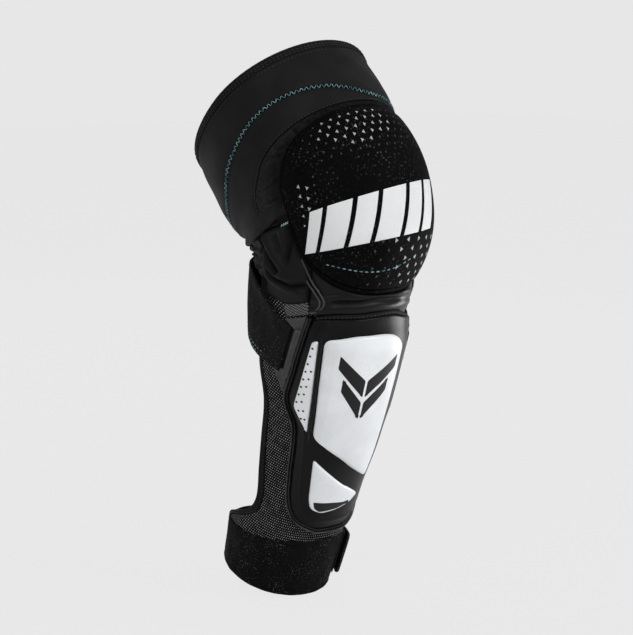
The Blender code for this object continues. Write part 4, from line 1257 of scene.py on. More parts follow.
@dataclass
class ShinArmour(Armour):
    """The moulded shin: liner, foam, black shell, rim and white plates."""

    shell_wall: float = 3.0
    plate_wall: float = 3.0
    mark_sink: float = 0.6
    mark_proud: float = 0.12
    rim_gap: float = 2.6
    rim_lift: float = 5.9
    rim_section: tuple = (
        (-2.2, -2.4), (-2.2, 0.3), (-1.8, 0.8), (-1.3, 0.3), (-1, -0.6), (-0.1, -0.6), (0.2, 1),
        (0.6, 1.8), (1, 2), (1.5, 1.7), (2, 0.6), (2.2, -0.6), (2.2, -2.4),
    )
    rib_section: tuple = ((-1.7, -0.6), (-1.5, 2.2), (-0.8, 3.6), (0, 4), (0.8, 3.6), (1.5, 2.2), (1.7, -0.6))
    rib_path: tuple = ((45, 0.42), (46.7, 0.56), (48.2, 0.70), (49.3, 0.82), (49.6, 0.91))
    main_plate: tuple = (
        (42.5, 0.45), (45.5, 0.675), (47, 0.89), (23, 0.927), (0, 0.934), (-12.5, 0.922),
        (-21.5, 0.875), (-23.5, 0.74), (-21, 0.5), (-19.5, 0.247), (-5, 0.29), (15, 0.367),
    )
    side_plate: tuple = ((48, 0.462), (64, 0.562), (57, 0.867), (51.5, 0.881))
    lower_plate: tuple = (
        (37.5, 0.350), (22, 0.293), (5, 0.232), (-17.5, 0.165), (-9.5, 0.127), (4.5, 0.100), (19, 0.087),
        (29, 0.106), (32.5, 0.151),
    )
    wedge: tuple = ((28.5, 0.146), (9, 0.146), (-8.5, 0.139), (3.5, 0.112), (20.5, 0.097), (26, 0.114))
    chevron_middle: float = 10.0

    def crown(self, angle: Array, height: Array) -> Array:
        """Return how thick the foam is, from 0 along the shell's edge to 1 down its middle."""
        cut = self.bench.cut
        across = np.minimum(np.abs(angle) / cut.shell_edge(height), 1)
        along = (height - cut.shell_low) / cut.shell_height
        return (1 - across ** 4) * ease(along / 0.4) * (0.3 + 0.7 * ease((1 - along) / 0.14))

    def shell_face(self, angle: Array, height: Array) -> Array:
        """Return the lift of the shell's outer face."""
        return self.foam_face(angle, height) + self.clearance + self.shell_wall

    def plate_face(self, angle: Array, height: Array) -> Array:
        """Return the lift of the plates' outer face."""
        return self.shell_face(angle, height) + self.clearance + self.plate_wall

    def shell_relief(self, angle: Array, height: Array, edge: Array) -> Array:
        """Shape the shell's outer face.

        Args:
            angle: Angles round the leg.
            height: Heights along the leg.
            edge: Distances to the shell's edge.

        Returns:
            The bevelled sides, the fine ridge inside them and the slow fall to the seam on top.
        """
        middle = ease((50 - np.abs(angle)) / 8)
        below = self.bench.cut.shell_brow(np.clip(angle, -58, 58)) - height
        sides = 1 - middle * ease((22 - below) / 8)
        bevel = sides * (1 - np.clip(edge / 9, 0, 1))
        fall = middle * ease((34 - below) / 34)
        return 0.5 * sides * bump(edge - 9.6, 1.2) - 1.9 * np.maximum(bevel, fall)

    def plate_relief(self, angle: Array, height: Array, edge: Array) -> Array:
        """Return the plates' soft shoulder and the facets along the main plate's sides."""
        wide = ease((angle - 35) / 4) * (angle - 35) * ease((48 - angle) / 1.5)
        narrow = ease((-14 - angle) / 3) * (-14 - angle) * ease((angle + 32) / 3)
        return -0.5 * bump(edge, 4) - 0.2 * wide - 0.16 * narrow

    def rib_lift(self, angle: Array, height: Array) -> Array:
        """Return the lift of the ribs, which sink into the shell at both ends."""
        share = (height - self.bench.cut.shell_low) / self.bench.cut.shell_height
        stand = ease((share - 0.42) / 0.05) * ease((0.91 - share) / 0.05)
        return self.shell_face(angle, height) - 4.4 * (1 - stand)

    def build(self) -> None:
        """Build and dress the shin."""
        bench = self.bench
        outline = bench.cut.shell_outline()
        self.build_core("shin", SHIN, outline)
        bench.wall(Piece("shin_shell_moulding", SHELL, SHIN, "shin_shell"), patch(outline, 1.4),
                   raised(self.foam_face, self.clearance), self.shell_face, 1.2, self.shell_relief)
        self.build_rim()
        self.build_plates()
        self.build_holes()
        self.build_marks()

    def build_rim(self) -> None:
        """Build the grooved rubber rim round the shell's edge."""
        cut = self.bench.cut
        side = cut.shell_side(self.rim_gap, cut.shell_low, cut.shell_corner, 90)
        foot = path_at(np.linspace(-22, 22, 30), cut.shell_low - self.rim_gap)
        path = smooth_path(np.vstack((mirrored(side)[:-2], foot[2:-2], side[2:]))[::3], 2)
        self.bench.sweep(Piece("shin_rim_bead", RIM, SHIN, "shin_rim"), path, self.rim_section, self.rim_lift)

    def build_plates(self) -> None:
        """Build the white plates and the ribs beside them."""
        bench = self.bench
        cut = bench.cut
        side = cut.on_shell(self.side_plate)
        plates = {
            "main_plate": (rounded(cut.on_shell(self.main_plate), 6), 1.8),
            "side_plate_inner": (rounded(side, 3), 1.4),
            "side_plate_outer": (rounded(mirrored(side), 3), 1.4),
            "lower_plate": (rounded(cut.on_shell(self.lower_plate), 4), 1.4),
        }
        for node, (outline, step) in plates.items():
            bench.wall(Piece(f"{node}_moulding", WHITE, SHIN, node), patch(outline, step), self.shell_face,
                       self.plate_face, 1.8, self.plate_relief)
        rib = smooth_path(cut.on_shell(self.rib_path), 2)
        for word, path, rise in (("inner", rib, 1), ("outer", mirrored(rib), 0.4)):
            section = np.array(self.rib_section) * (1, rise)
            bench.sweep(Piece(f"plate_rib_{word}", SHELL, SHIN), path, section, self.rib_lift)

    def build_holes(self) -> None:
        """Build the vent holes of the side plates: two rows along the edge and the tip."""
        bench = self.bench
        rows = ((np.linspace(0.845, 0.590, 8), 2.3), (np.linspace(0.745, 0.600, 5), 6.4))
        columns = [path_at(64 - 23 * (shares - 0.562) - inset, shares) for shares, inset in rows]
        tip = ((58, 0.556), (54.2, 0.562), (55, 0.523), (51.8, 0.526))
        holes = bench.cut.on_shell(np.vstack((*columns, tip)))
        sizes = np.tile((0.95, 0.95, 0.28), (len(holes), 1))
        for word, sign in SIDES:
            bench.copies(Piece(f"side_plate_holes_{word}", MARK, SHIN), holes * (sign, 1),
                         np.zeros(len(holes)), sizes, self.plate_face)

    def build_marks(self) -> None:
        """Build the plain chevrons on the main plate and the dark wedge on the lower plate."""
        bench = self.bench
        marks = []
        for middle, wide in ((0.745, 24), (0.645, 19)):
            for side in (1, -1):
                inner = (self.chevron_middle + side * 0.7, middle - 0.085)
                outer = (self.chevron_middle + side * wide, middle + 0.04)
                quad = (inner, outer, (outer[0], outer[1] + 0.062), (inner[0], inner[1] + 0.08))
                marks.append(quad if side > 0 else quad[::-1])
        lifts = [raised(self.plate_face, shift) for shift in (-self.mark_sink, self.mark_proud)]
        for index, mark in enumerate((*marks, self.wedge)):
            rows = patch(rounded(bench.cut.on_shell(mark), 1.6), 1.6)
            bench.wall(Piece(f"plate_mark_{index + 1}", MARK, SHIN), rows, *lifts, 0.4)


@dataclass
class SidePanels:
    """The mesh side panels, their bindings and the wings that carry the calf strap."""

    bench: Bench
    mesh_wall: float = 2.2
    mesh_overlap: float = 0.15
    binding_wall: float = 3.4
    binding_width: float = 8.0
    strap_lift: float = 2.6
    slot_low_angle: float = 84.0
    slot_high_angle: float = 77.0
    gores: tuple = (
        ("upper", ((69.5, 262), (66.5, 280), (90, 268.5), (78.5, 263.5))),
        ("lower", ((80.2, 197), (78.5, 221), (86, 220), (97, 218))),
    )

    def slot_angle(self, height: Array) -> Array:
        """Return the angle of the strap slot at heights."""
        cut = self.bench.cut
        share = (np.asarray(height) - cut.strap_low) / (cut.slot_top - cut.strap_low)
        return self.slot_low_angle + (self.slot_high_angle - self.slot_low_angle) * share

    def build(self) -> None:
        """Build and dress both sides."""
        for word, side in SIDES:
            self.build_panel(word, side)
        self.build_slotted_wing()
        self.build_plain_wing()

    def build_panel(self, word: str, side: float) -> None:
        """Build one mesh panel and the binding along its rear edge.

        Args:
            word: The side's name.
            side: 1 for the inner side and -1 for the outer side.
        """
        bench = self.bench
        cut = bench.cut
        low = max(cut.band_top(side * 115), cut.band_top(side * 135)) + 2
        bound = np.linspace(low, cut.strap_low - 3, 60)
        heights = np.concatenate((bound, np.linspace(230, 278, 12)))
        foot = (cut.mesh_rear(low), cut.band_top(side * 122) + 0.2)
        rear = np.vstack((foot, path_at(cut.mesh_rear(heights), heights), (cut.pad_rear, cut.panel_top)))
        start = 0.4 if side < 0 else -1.6
        toe = ((start, cut.band_top(0) + 0.2), (start, cut.shell_low - 0.6), (22, cut.shell_low - 0.6))
        front = np.vstack((toe, cut.shell_side(0.6, cut.shell_low, cut.shell_corner), (67.2, 282.4),
                           (67.2, cut.panel_top)))
        tape = path_at(cut.mesh_rear(bound) + 0.3, bound)
        heel = tape[0, 0] + np.array((2.5, 2.5 + self.binding_width))
        heel = path_at(heel, cut.band_top(side * heel) - 1)
        tape_front = np.vstack((heel[0], tape)) * (side, 1)
        tape_rear = np.vstack((heel[1], tape + (self.binding_width, 0))) * (side, 1)
        panel = bench.wall(Piece(f"mesh_panel_{word}_cloth", AIR_MESH, SHIN, f"mesh_panel_{word}"),
                           band_between(front * (side, 1), rear * (side, 1)), 0,
                           self.mesh_wall if side < 0 else self.mesh_wall + self.mesh_overlap)
        trims = [
            bench.wall(Piece(f"panel_binding_{word}_tape", BINDING, SHIN, f"panel_binding_{word}"),
                       band_between(tape_front, tape_rear, 1.6), 0, self.binding_wall, 3),
            bench.stitches(Piece(f"panel_binding_{word}_stitches", BLACK_THREAD, SHIN),
                           tape_front + (side * 1.6, 0), 3.05, 2.4, 0.9, 0.22),
        ]
        if side > 0:
            foot = path_at(np.linspace(-26, 26, 24), cut.shell_low - 4)
            trims.append(bench.wall(Piece("shin_toe_tape", BINDING, SHIN),
                                    band_between(foot, foot + (0, 8), 1.2), *INSIDE_TAPE, 0.4))
        bench.declare_sheet(panel, "shin_shell_moulding", trims=trims)

    def build_slotted_wing(self) -> None:
        """Build the grey wing on the inner side: a lip beside the strap slot, and two gores."""
        bench = self.bench
        cut = bench.cut
        front = cut.shell_side(5, cut.strap_low - 3, cut.slot_top + 2, 12)
        rear = path_at(self.slot_angle(front[:, 1]) - 1, front[:, 1])
        outline = rounded(np.vstack((front[[0, 3, 6, 9, 11]], rear[[11, 0]])), 3.6)
        bench.wall(Piece("strap_wing_inner_moulding", WING, SHIN, "strap_wing_inner"), patch(outline, 1.2),
                   2.5, 7.6, 2.4, lambda angle, height, edge: -1.1 * bump(edge - 3.4, 1.3))
        heights = np.linspace(cut.strap_low - 1, cut.slot_top + 1, 12)
        edges = [path_at(self.slot_angle(heights) + shift, heights) for shift in (-3, 8)]
        # A black strip laid under the strap slot: painted shade inside the slot.
        bench.wall(Piece("strap_slot_shade_strip", BINDING, SHIN), band_between(*edges, 1.6), 2.3, 2.56, 0.3)
        for word, outline in self.gores:
            bench.wall(Piece(f"strap_wing_gore_{word}", WING, SHIN),
                       patch(rounded(outline, 2), 1.4), 2.3, 4.2, 1)

    def build_plain_wing(self) -> None:
        """Build the flat wing under the closing tab on the outer side."""
        cut = self.bench.cut
        front = cut.shell_side(5.6, cut.strap_low - 18, cut.slot_top + 19, 30)
        rear = ((112, cut.slot_top + 4), (112, cut.strap_low))
        outline = mirrored(rounded(np.vstack((front[[0, 10, 20, 29]], rear)), 5))
        self.bench.wall(Piece("strap_wing_outer_moulding", WING, SHIN, "strap_wing_outer"),
                        patch(outline, 1.8), self.strap_lift, 5.2, 1.4,
                        lambda angle, height, edge: -0.5 * bump(edge - 4.5, 1))


@dataclass
class ClosingTab:
    """A strap's closing tab with its hook pad, and the loop patch that it closes on."""

    bench: Bench
    word: str
    motion: Motion
    root: float
    end: float
    low: float
    high: float
    pad_root: float
    loop_root: float
    loop_end: float
    lift: float
    place: Callable[[Points], Array] = np.asarray
    stand_off: Level = 0.0
    pad_inset: float = 4.0
    tab_corner: float = 9.0
    pad_corner: float = 5.0

    def box(self, first: float, last: float, inset: float) -> Array:
        """Return the corners between two angles, drawn in from the tab's long edges."""
        return np.array(((first, self.low + inset), (last, self.low + inset), (last, self.high - inset),
                         (first, self.high - inset)))

    def outline(self) -> Array:
        """Return the tab's outline: square at its root, with round corners at its free end."""
        box = self.box(self.root, self.end, 0)
        around = rounded(box, self.tab_corner)
        return np.vstack((box[0], around[around[:, 0] > (self.root + self.end) / 2], box[3]))

    def relief(self, angle: Array, height: Array, edge: Array) -> Array:
        """Return the tab's sewn line and shallow ribs."""
        ribs = 0.18 * np.sin(height * 1.9) * ease((edge - 5) / 3)
        return ribs - 0.35 * bump(edge - 3.5, 0.8)

    def build(self) -> None:
        """Build and dress the tab, its hook pad and its loop patch."""
        off = lift_of(self.stand_off)
        pad = rounded(self.box(self.pad_root, self.end - self.pad_inset, self.pad_inset), self.pad_corner)
        loop = rounded(self.box(self.loop_root, self.loop_end, 0), self.pad_corner)
        pieces = (
            ("tab", "tab_flap", TAB, self.motion, self.outline(), off, 2.6, 2.2, 1.2, self.relief),
            ("hook_pad", "hook_tape", HOOK, self.motion, pad, off, 1.4, 0.8, 0.4, None),
            ("loop_patch", "loop_tape", LOOP, SHIN, loop, lift_of(0), 0, 1, 0.6, None),
        )
        for node, name, finish, motion, shape, under, gap, wall, rim, relief in pieces:
            inner = raised(under, self.lift + gap)
            self.bench.wall(Piece(f"{self.word}_{name}", finish, motion, f"{self.word}_{node}"),
                            patch(self.place(shape), 1.8), inner, raised(inner, wall), rim, relief)


@dataclass
class CalfStrap:
    """The wide elastic strap round the calf and its closing tab."""

    bench: Bench
    panels: SidePanels
    wall: float = 2.2
    slack: float = 6.0
    rise_angles: tuple = (80, 135)
    drop_angle: float = 195.0
    end_angle: float = 232.0
    tab_low: float = 223.88
    tab_height: float = 54.0
    tab_span: float = 42.0
    hook_root: float = -108.0
    loop_root: float = -110.0
    patch_lift: float = 5.6

    def drop(self, angle: Array) -> Array:
        """Return 0 on the strap's rear, easing to 1 where it narrows to its tab."""
        return ease((np.asarray(angle) - self.drop_angle) / (self.end_angle - self.drop_angle))

    def top(self, angle: Array) -> Array:
        """Return the height of the strap's upper edge."""
        cut = self.bench.cut
        rise = ease((np.asarray(angle) - self.rise_angles[0]) / (self.rise_angles[1] - self.rise_angles[0]))
        rear = cut.slot_top + (cut.shell_top + 1 - cut.slot_top) * rise
        return rear + (self.tab_low + self.tab_height - rear) * self.drop(angle)

    def bottom(self, angle: Array) -> Array:
        """Return the height of the strap's lower edge, which curls up at the rear."""
        curl = ease((angle - 110) / 42) * ease((196 - angle) / 30)
        return self.bench.cut.strap_low + 8 * self.drop(angle) + 11 * curl

    def lift(self, angle: Array, height: Array) -> Array:
        """Return the lift of the strap's inner face, slack at the rear and climbing to the tab."""
        climb = ease((angle - self.drop_angle) / (self.end_angle - 4 - self.drop_angle))
        loose = ease((angle - 98) / 34) * ease((194 - angle) / 34)
        gape = ease((angle - 86) / 16) * ease((128 - angle) / 14) * ease((height - self.top(angle) + 22) / 22)
        return self.panels.strap_lift + self.slack * loose + 3.2 * gape + 5.6 * climb

    def ripple(self, angle: Array, height: Array, edge: Array) -> Array:
        """Return the slack ripples that run across the strap behind the slot."""
        waves = np.sin(angle * 0.42 + height * 0.05) * np.sin(angle * 0.17 + 1.3)
        return 0.25 * waves - 0.25 * bump(edge - 4, 0.7)

    def build(self) -> None:
        """Build and dress the strap, its teal stitches, its tab and the closing patches."""
        bench = self.bench
        cut = bench.cut
        angles = np.linspace(92, self.end_angle, 90)
        sides = ((cut.strap_low, self.bottom(angles)), (cut.slot_top, self.top(angles)))
        edges = [np.vstack(((float(self.panels.slot_angle(slot)) + 3.5, slot), path_at(angles, heights)))
                 for slot, heights in sides]
        face = raised(self.lift, self.wall)
        strap = bench.wall(Piece("calf_strap_elastic", ELASTIC, STRAP_REAR, "calf_strap"),
                           band_between(*edges), self.lift, face, 1.2, self.ripple)
        bench.declare_sheet(strap, "mesh_panel_inner_cloth")
        span = np.linspace(108, 158, 60)
        for index, inset in enumerate((3.2, 7)):
            bench.stitches(Piece(f"calf_strap_teal_{index + 1}", TEAL, SHIN),
                           path_at(span, self.bottom(span) + inset), face, 2.4, 1.4, 0.34)
        root = self.end_angle - 360 + 0.3
        end = root + self.tab_span
        ClosingTab(bench, "calf", CALF_TAB, root, end, self.tab_low, self.tab_low + self.tab_height,
                   self.hook_root, self.loop_root, end, self.patch_lift).build()


@dataclass
class AnkleBand:
    """The elastic band round the ankle and its closing tab."""

    bench: Bench
    wall: float = 3.4
    strap_wall: float = 2.2
    foot: float = -5.0
    strap_start: float = -164.0
    tab_root: float = -122.0
    tab_span: float = 82.0
    tab_low: float = 5.0
    tab_slope: float = 8.0
    tab_height: float = 48.0
    patch_lift: float = 3.8

    @property
    def tab_end(self) -> float:
        """Return the angle of the tab's free end."""
        return self.tab_root + self.tab_span

    def on_band(self, points: Points) -> Array:
        """Slope points of the tab, at heights above its lower edge, with the band that it closes."""
        points = np.asarray(points, float)
        share = (points[:, 0] - self.strap_start) / (self.tab_end - self.strap_start)
        low = self.tab_low - self.tab_slope * (1 - share)
        high = self.bench.cut.band_top(points[:, 0]) - 2
        return path_at(points[:, 0], low + points[:, 1] / self.tab_height * (high - low))

    def climb(self, angle: Array, height: Array) -> Array:
        """Return the lift of the strap that climbs from the band to the tab."""
        share = (angle - self.strap_start) / (self.tab_root - self.strap_start - 4)
        return self.patch_lift + 2.6 * ease(share)

    def stand_off(self, angle: Array, height: Array) -> Array:
        """Return how far the tab's free end stands off its patch."""
        return 2.2 * ease((angle - self.tab_end + 16) / 16) ** 2

    def ripple(self, angle: Array, height: Array, edge: Array) -> Array:
        """Return the band's turned edges and slack ripples."""
        waves = np.sin(angle * 0.31 + 0.4) * np.sin(height * 0.12 + angle * 0.08)
        return 0.3 * waves - 0.35 * bump(edge - 5.5, 0.8)

    def build(self) -> None:
        """Build and dress the band, its strap, tab and closing patches."""
        bench = self.bench
        band_top = bench.cut.band_top
        angles = np.linspace(-180, 180, 181)
        rows = band_between(path_at(angles, self.foot), path_at(angles, band_top(angles)), 2, True)
        band = bench.wall(Piece("ankle_band_elastic", ANKLE_ELASTIC, SHIN, "ankle_band"), rows, 0, self.wall,
                          2.6, self.ripple)
        span = np.linspace(-131, 131, 120)
        edges = [path_at(span, band_top(span) + shift) for shift in (-4, 4)]
        seam = bench.wall(Piece("ankle_seam_tape", BINDING, SHIN), band_between(*edges, 1.6),
                          *INSIDE_TAPE, 0.4)
        bench.declare_sheet(band, trims=(seam,))
        span = np.linspace(self.strap_start, self.tab_root - 0.3, 40)
        edges = [self.on_band(path_at(span, height)) for height in (0, self.tab_height)]
        strap = bench.wall(Piece("ankle_strap_elastic", ANKLE_ELASTIC, SHIN, "ankle_strap"),
                           band_between(*edges), self.climb, raised(self.climb, self.strap_wall), 1.2)
        bench.declare_sheet(strap, band.name)
        root = self.tab_root
        ClosingTab(bench, "ankle", ANKLE_TAB, root, self.tab_end, 0, self.tab_height, root + 20, root + 8,
                   self.tab_end + 0.6, self.patch_lift, self.on_band, self.stand_off).build()


@dataclass
class KneeCup(Armour):
    """The domed knee cup: liner, foam, knitted cover, piping and print."""

    foam_core: float = 16.0
    cover_wall: float = 2.6
    print_sink: float = 0.4
    print_proud: float = 0.22
    print_reach: float = 0.97
    teal_line: tuple = ((54, 322.5), (26, 318), (6, 319), (-9, 324))
    bar_top: tuple = ((60, 357), (23, 360), (-32, 366))
    bar_low: tuple = ((70, 329), (28, 334), (-26, 339))
    bar_shares: tuple = ((0, 0.10), (0.13, 0.30), (0.33, 0.47), (0.50, 0.68), (0.71, 0.84), (0.87, 1))

    def crown(self, angle: Array, height: Array) -> Array:
        """Return how thick the foam is, from 0 along the cup's edge to 1 in its middle."""
        return 1 - np.minimum(self.bench.cut.cup_reach(angle, height), 1) ** 2.4

    def cover_face(self, angle: Array, height: Array) -> Array:
        """Return the lift of the cover's outer face."""
        return self.foam_face(angle, height) + self.clearance + self.cover_wall

    def build(self) -> None:
        """Build and dress the cup."""
        bench = self.bench
        cut = bench.cut
        outline = cut.cup_edge(0)[:-1]
        self.build_core("cup", KNEE, outline)
        bench.wall(Piece("cup_cover_knit", CUP_KNIT, KNEE, "cup_cover"), patch(outline, 1.9),
                   raised(self.foam_face, self.clearance), self.cover_face, 2.4)
        bench.sweep(Piece("cup_piping_cord", CUP_KNIT, KNEE, "cup_piping"), cut.cup_edge(1.8),
                    oval(1.6, 1.1), 2.8, True)
        self.build_bars()
        self.build_triangles()
        bench.stitches(Piece("cup_teal_line", TEAL, KNEE), smooth_path(self.teal_line, 1.5), self.cover_face,
                       2.6, 1.5, 0.3)

    def build_bars(self) -> None:
        """Build the slanted white bars printed across the cup."""
        top = smooth_path(self.bar_top, 1)
        low = smooth_path(self.bar_low, 1)
        lifts = [raised(self.cover_face, shift) for shift in (-self.print_sink, self.print_proud)]
        for index, (start, finish) in enumerate(self.bar_shares):
            shares = np.linspace(start, finish, 12)
            rows = band_between(resample(low, shares), resample(top, shares), 1.8)
            self.bench.wall(Piece(f"cup_bar_{index + 1}", WHITE_PRINT, KNEE), rows, *lifts, 0.4)

    def triangle_marks(self) -> dict[bool, list]:
        """Lay out the small printed triangles.

        Returns:
            The angle, height and size of each bright one, under True, and of each dim one, under False.
        """
        marks: dict[bool, list] = {True: [], False: []}
        for row, height in enumerate(np.arange(371, 409.5, 4.3)):
            for column in range(-6, 11):
                angle = column * 5.8 + (2.9 if row % 2 else 0)
                near = math.hypot((angle - 17) / 26, (height - 398.5) / 11.5)
                bright = near < 0.95
                if near < 1.7:
                    marks[bright].append((angle, height, 1.5 if bright else 1.1 - 0.4 * (near - 0.95)))
        for row, height in enumerate(np.arange(310, 335, 4.9)):
            for column in range(6):
                angle = 21 - column * 9.4 - (4.7 if row % 2 else 0)
                bright = angle < 4 + (height - 320) * 0.3
                marks[bright].append((angle, height, 1.65 if bright else 1.3))
        for row in range(5):
            marks[True].append((62.5 + row * 0.8, 375 - 6.5 * row, 1.8 - 0.15 * row))
            marks[row < 3].append((57.2 + row * 1.2, 372 - 6.5 * row, 1.7))
            marks[False].append((51.5 + row * 0.8, 377 - 5 * row, 1.1))
        return marks

    def build_triangles(self) -> None:
        """Build the scatter of small printed triangles over and under the bars."""
        marks = self.triangle_marks()
        for word, finish, found in (("bright", PALE_PRINT, marks[True]), ("dim", DIM_PRINT, marks[False])):
            laid = np.array(found)
            laid = laid[self.bench.cut.cup_reach(laid[:, 0], laid[:, 1]) < self.print_reach]
            turns = np.where(np.arange(len(laid)) % 2, math.pi / 2, -math.pi / 2)
            sizes = np.column_stack((laid[:, 2], laid[:, 2], np.full(len(laid), self.print_proud)))
            self.bench.copies(Piece(f"cup_triangles_{word}", finish, KNEE), laid[:, :2], turns, sizes,
                              self.cover_face, True)


@dataclass
class KneeSleeve:
    """The stretch fabric round the knee: surround, gusset, side pads and rear sleeve."""

    bench: Bench
    strap: CalfStrap
    wall: float = 3.2
    seam_gap: float = 3.8
    pad_wall: float = 3.0
    pad_crown: float = 8.0
    flap_top: float = 376.0
    flap_wall: float = 2.2
    lining_low: float = 268.0
    lining_wall: float = 0.9
    gusset_half_angle: float = 66.0
    flap_side: tuple = ((81, 362), (91.5, 359.5), (98.5, 355.5), (110.5, 350), (129, 342), (152, 338))
    cord: tuple = ((74, 325), (69.5, 316.5), (64.5, 308.5), (56.5, 300.5), (52.8, 295.5),
                   (54, 291), (63, 284))
    vent: tuple = ((92, 281.5), (67, 292.5), (65, 283), (88.5, 271))
    surround_fold_line: tuple = ((84, 372), (97, 382), (101, 394))
    pad_creases: tuple = (
        (((107, 341), (102, 325), (95, 312)), 2.2, 4),
        (((82, 350), (82.5, 338), (85, 325)), 2, 3),
        (((108, 314), (98, 304.5), (84, 302), (72, 305)), 2.2, 3.6),
        (((92, 346), (90, 333)), 1.8, 1.6),
    )

    def build(self) -> None:
        """Build and dress the fabric round the knee."""
        self.build_surround()
        self.build_gusset()
        self.build_pads()
        self.build_vents()
        self.build_rear()

    def gathers(self, angle: Array, height: Array) -> Array:
        """Return the surround's gathers, which fan out from the cup's edge and fade."""
        cut = self.bench.cut
        turn = np.arctan2(height - cut.cup_middle, angle * MEAN_PITCH)
        near = 1.25 - 1.1 * (cut.cup_reach(angle, height) - 1) / 0.3
        return ease(near) * np.sin(turn * 58 + 1.6 * np.sin(height * 0.45) + 1.2 * np.sin(angle * 0.31))

    def surround_relief(self, angle: Array, height: Array, edge: Array) -> Array:
        """Return the surround's folds, crumples and gathers."""
        folds = bump(distance_to_path(np.abs(angle), height, self.surround_fold_line), 2.2)
        crumple = np.sin(angle * 1.25 + height * 0.5) * np.sin(height * 0.95 - angle * 0.6)
        return 0.8 * folds + (1.1 * crumple + 1.6 * self.gathers(angle, height)) * ease(edge / 3.5)

    def surround_painted_shade(self, angle: Array, height: Array, edge: Array) -> Array:
        """Return the surround's painted shade: towards the cup's edge, between the gathers and along the
        seam.
        """
        deep = ease((1.25 - self.bench.cut.cup_reach(angle, height)) / 0.2)
        return deep + 0.5 * ease(-self.gathers(angle, height)) + 0.6 * bump(edge, 1.8)

    def build_surround(self) -> None:
        """Build the fabric between the cup's edge and the arched seam."""
        bench = self.bench
        cut = bench.cut
        edge = cut.cup_edge(self.seam_gap, -8, 188)
        rows = band_between(edge[edge[:, 1] >= cut.panel_low], cut.arch(), 1.5)
        item = bench.wall(Piece("cup_surround_cloth", TERRY, OVER_CUP, "cup_surround"), rows, 0, self.wall,
                          1.4, self.surround_relief, self.surround_painted_shade)
        bench.declare_sheet(item, "cup_piping_cord", trims=self.build_flap())

    def flap_edge(self) -> Array:
        """Return the lower edge of the loose fold, from the inner side round the back to the outer side."""
        return smooth_path(np.vstack((self.flap_side, (180, 337), mirrored(self.flap_side) + (360, 0))), 2)

    def hang(self, angle: Array, height: Array) -> Array:
        """Return the lift of the loose fold's outer face, which stands off more towards its lower edge."""
        drop = ease((self.flap_top - height) / (self.flap_top - np.interp(angle, *self.flap_edge().T)))
        tuck = ease((angle - 81) / 8) * ease((279 - angle) / 8)
        return 2.8 + (1 + 4.2 * tuck) * drop + 0.5 * np.sin(angle * 0.24) * drop

    def build_flap(self) -> list[Item]:
        """Build the loose fold that hangs over the back of the knee, and its teal bar tacks.

        Returns:
            The fold and the tacks.
        """
        bench = self.bench
        lower = self.flap_edge()
        rows = band_between(lower, path_at(lower[:, 0], self.flap_top), 1.8)
        made = [bench.wall(Piece("knee_flap_cloth", NEOPRENE, KNEE), rows, raised(self.hang, -self.flap_wall),
                           self.hang, 2.4)]
        for word, sign in SIDES:
            ends = ((sign * 79.5, 354.6), (sign * 86.5, 353.4))
            made.append(bench.stitches(Piece(f"flap_tack_{word}", TEAL, KNEE), ends, 7.2, 3, -0.8, 0.4, 50))
        return made

    def fold_line(self, angle: Array) -> Array:
        """Return the height of the tuck across the gusset."""
        return 298.6 - 0.0017 * angle ** 2 + 0.3 * np.sin(angle * 0.19)

    def tuck(self, angle: Array, height: Array, width: float) -> Array:
        """Return how deep in the gusset's tuck points are, from 0 to 1, for a width."""
        ends = ease((angle + 22) / 14) * ease((54 - angle) / 16)
        return ends * bump(height - self.fold_line(angle), width)

    def gusset_relief(self, angle: Array, height: Array, edge: Array) -> Array:
        """Return the gusset's two soft rolls and the tuck between them."""
        above = height - self.fold_line(angle)
        return 2.2 * bump(above - 3.4, 2.4) + 2 * bump(above + 4.6, 3.4) - 2.4 * self.tuck(angle, height, 1.5)

    def gusset_painted_shade(self, angle: Array, height: Array, edge: Array) -> Array:
        """Return the gusset's painted shade in its tuck and along its edges."""
        return 1.2 * self.tuck(angle, height, 1.7) + 0.8 * bump(edge, 2)

    def cord_lift(self, angle: Array, height: Array) -> Array:
        """Return the lift of the cords that edge the side pads."""
        return 4.3 + 1.2 * ease((height - 292) / 8)

    def build_gusset(self) -> None:
        """Build the folded fabric between the shell's top and the cup."""
        bench = self.bench
        cut = bench.cut
        upper = cut.cup_edge(self.seam_gap, 180, 360)
        angles = np.linspace(-57.5, 57.5, 80)
        seam = path_at(angles, cut.shell_brow(angles))
        ends = [(side * self.gusset_half_angle, cut.shell_corner + 4) for side in (-1, 1)]
        rows = band_between(np.vstack((ends[0], seam + (0, 0.3), ends[1])),
                            upper[np.abs(upper[:, 0]) <= self.gusset_half_angle], 1.2)
        item = bench.wall(Piece("knee_gusset_cloth", SLICK, UNDER_CUP, "knee_gusset"), rows, 0, self.wall,
                          1.2, self.gusset_relief, self.gusset_painted_shade)
        hem = seam + (0, 1.5)
        trims = [
            bench.sweep(Piece("gusset_roll", BINDING, SHIN), hem, oval(1.5, 1.5), 4.6),
            bench.stitches(Piece("gusset_stitches", BLACK_THREAD, SHIN), hem, 6.1, 2.2, 1.2, 0.32),
        ]
        for word, sign in SIDES:
            for index, shift in enumerate((0, 3.6)):
                path = smooth_path((np.array(self.cord) + (shift, -0.3 * shift)) * (sign, 1), 1.5)
                trims.append(bench.sweep(Piece(f"knee_cord_{word}_{index + 1}", PIPING, UNDER_CUP), path,
                                         oval(0.75, 0.75), self.cord_lift))
        bench.declare_sheet(item, "cup_piping_cord", trims=trims)

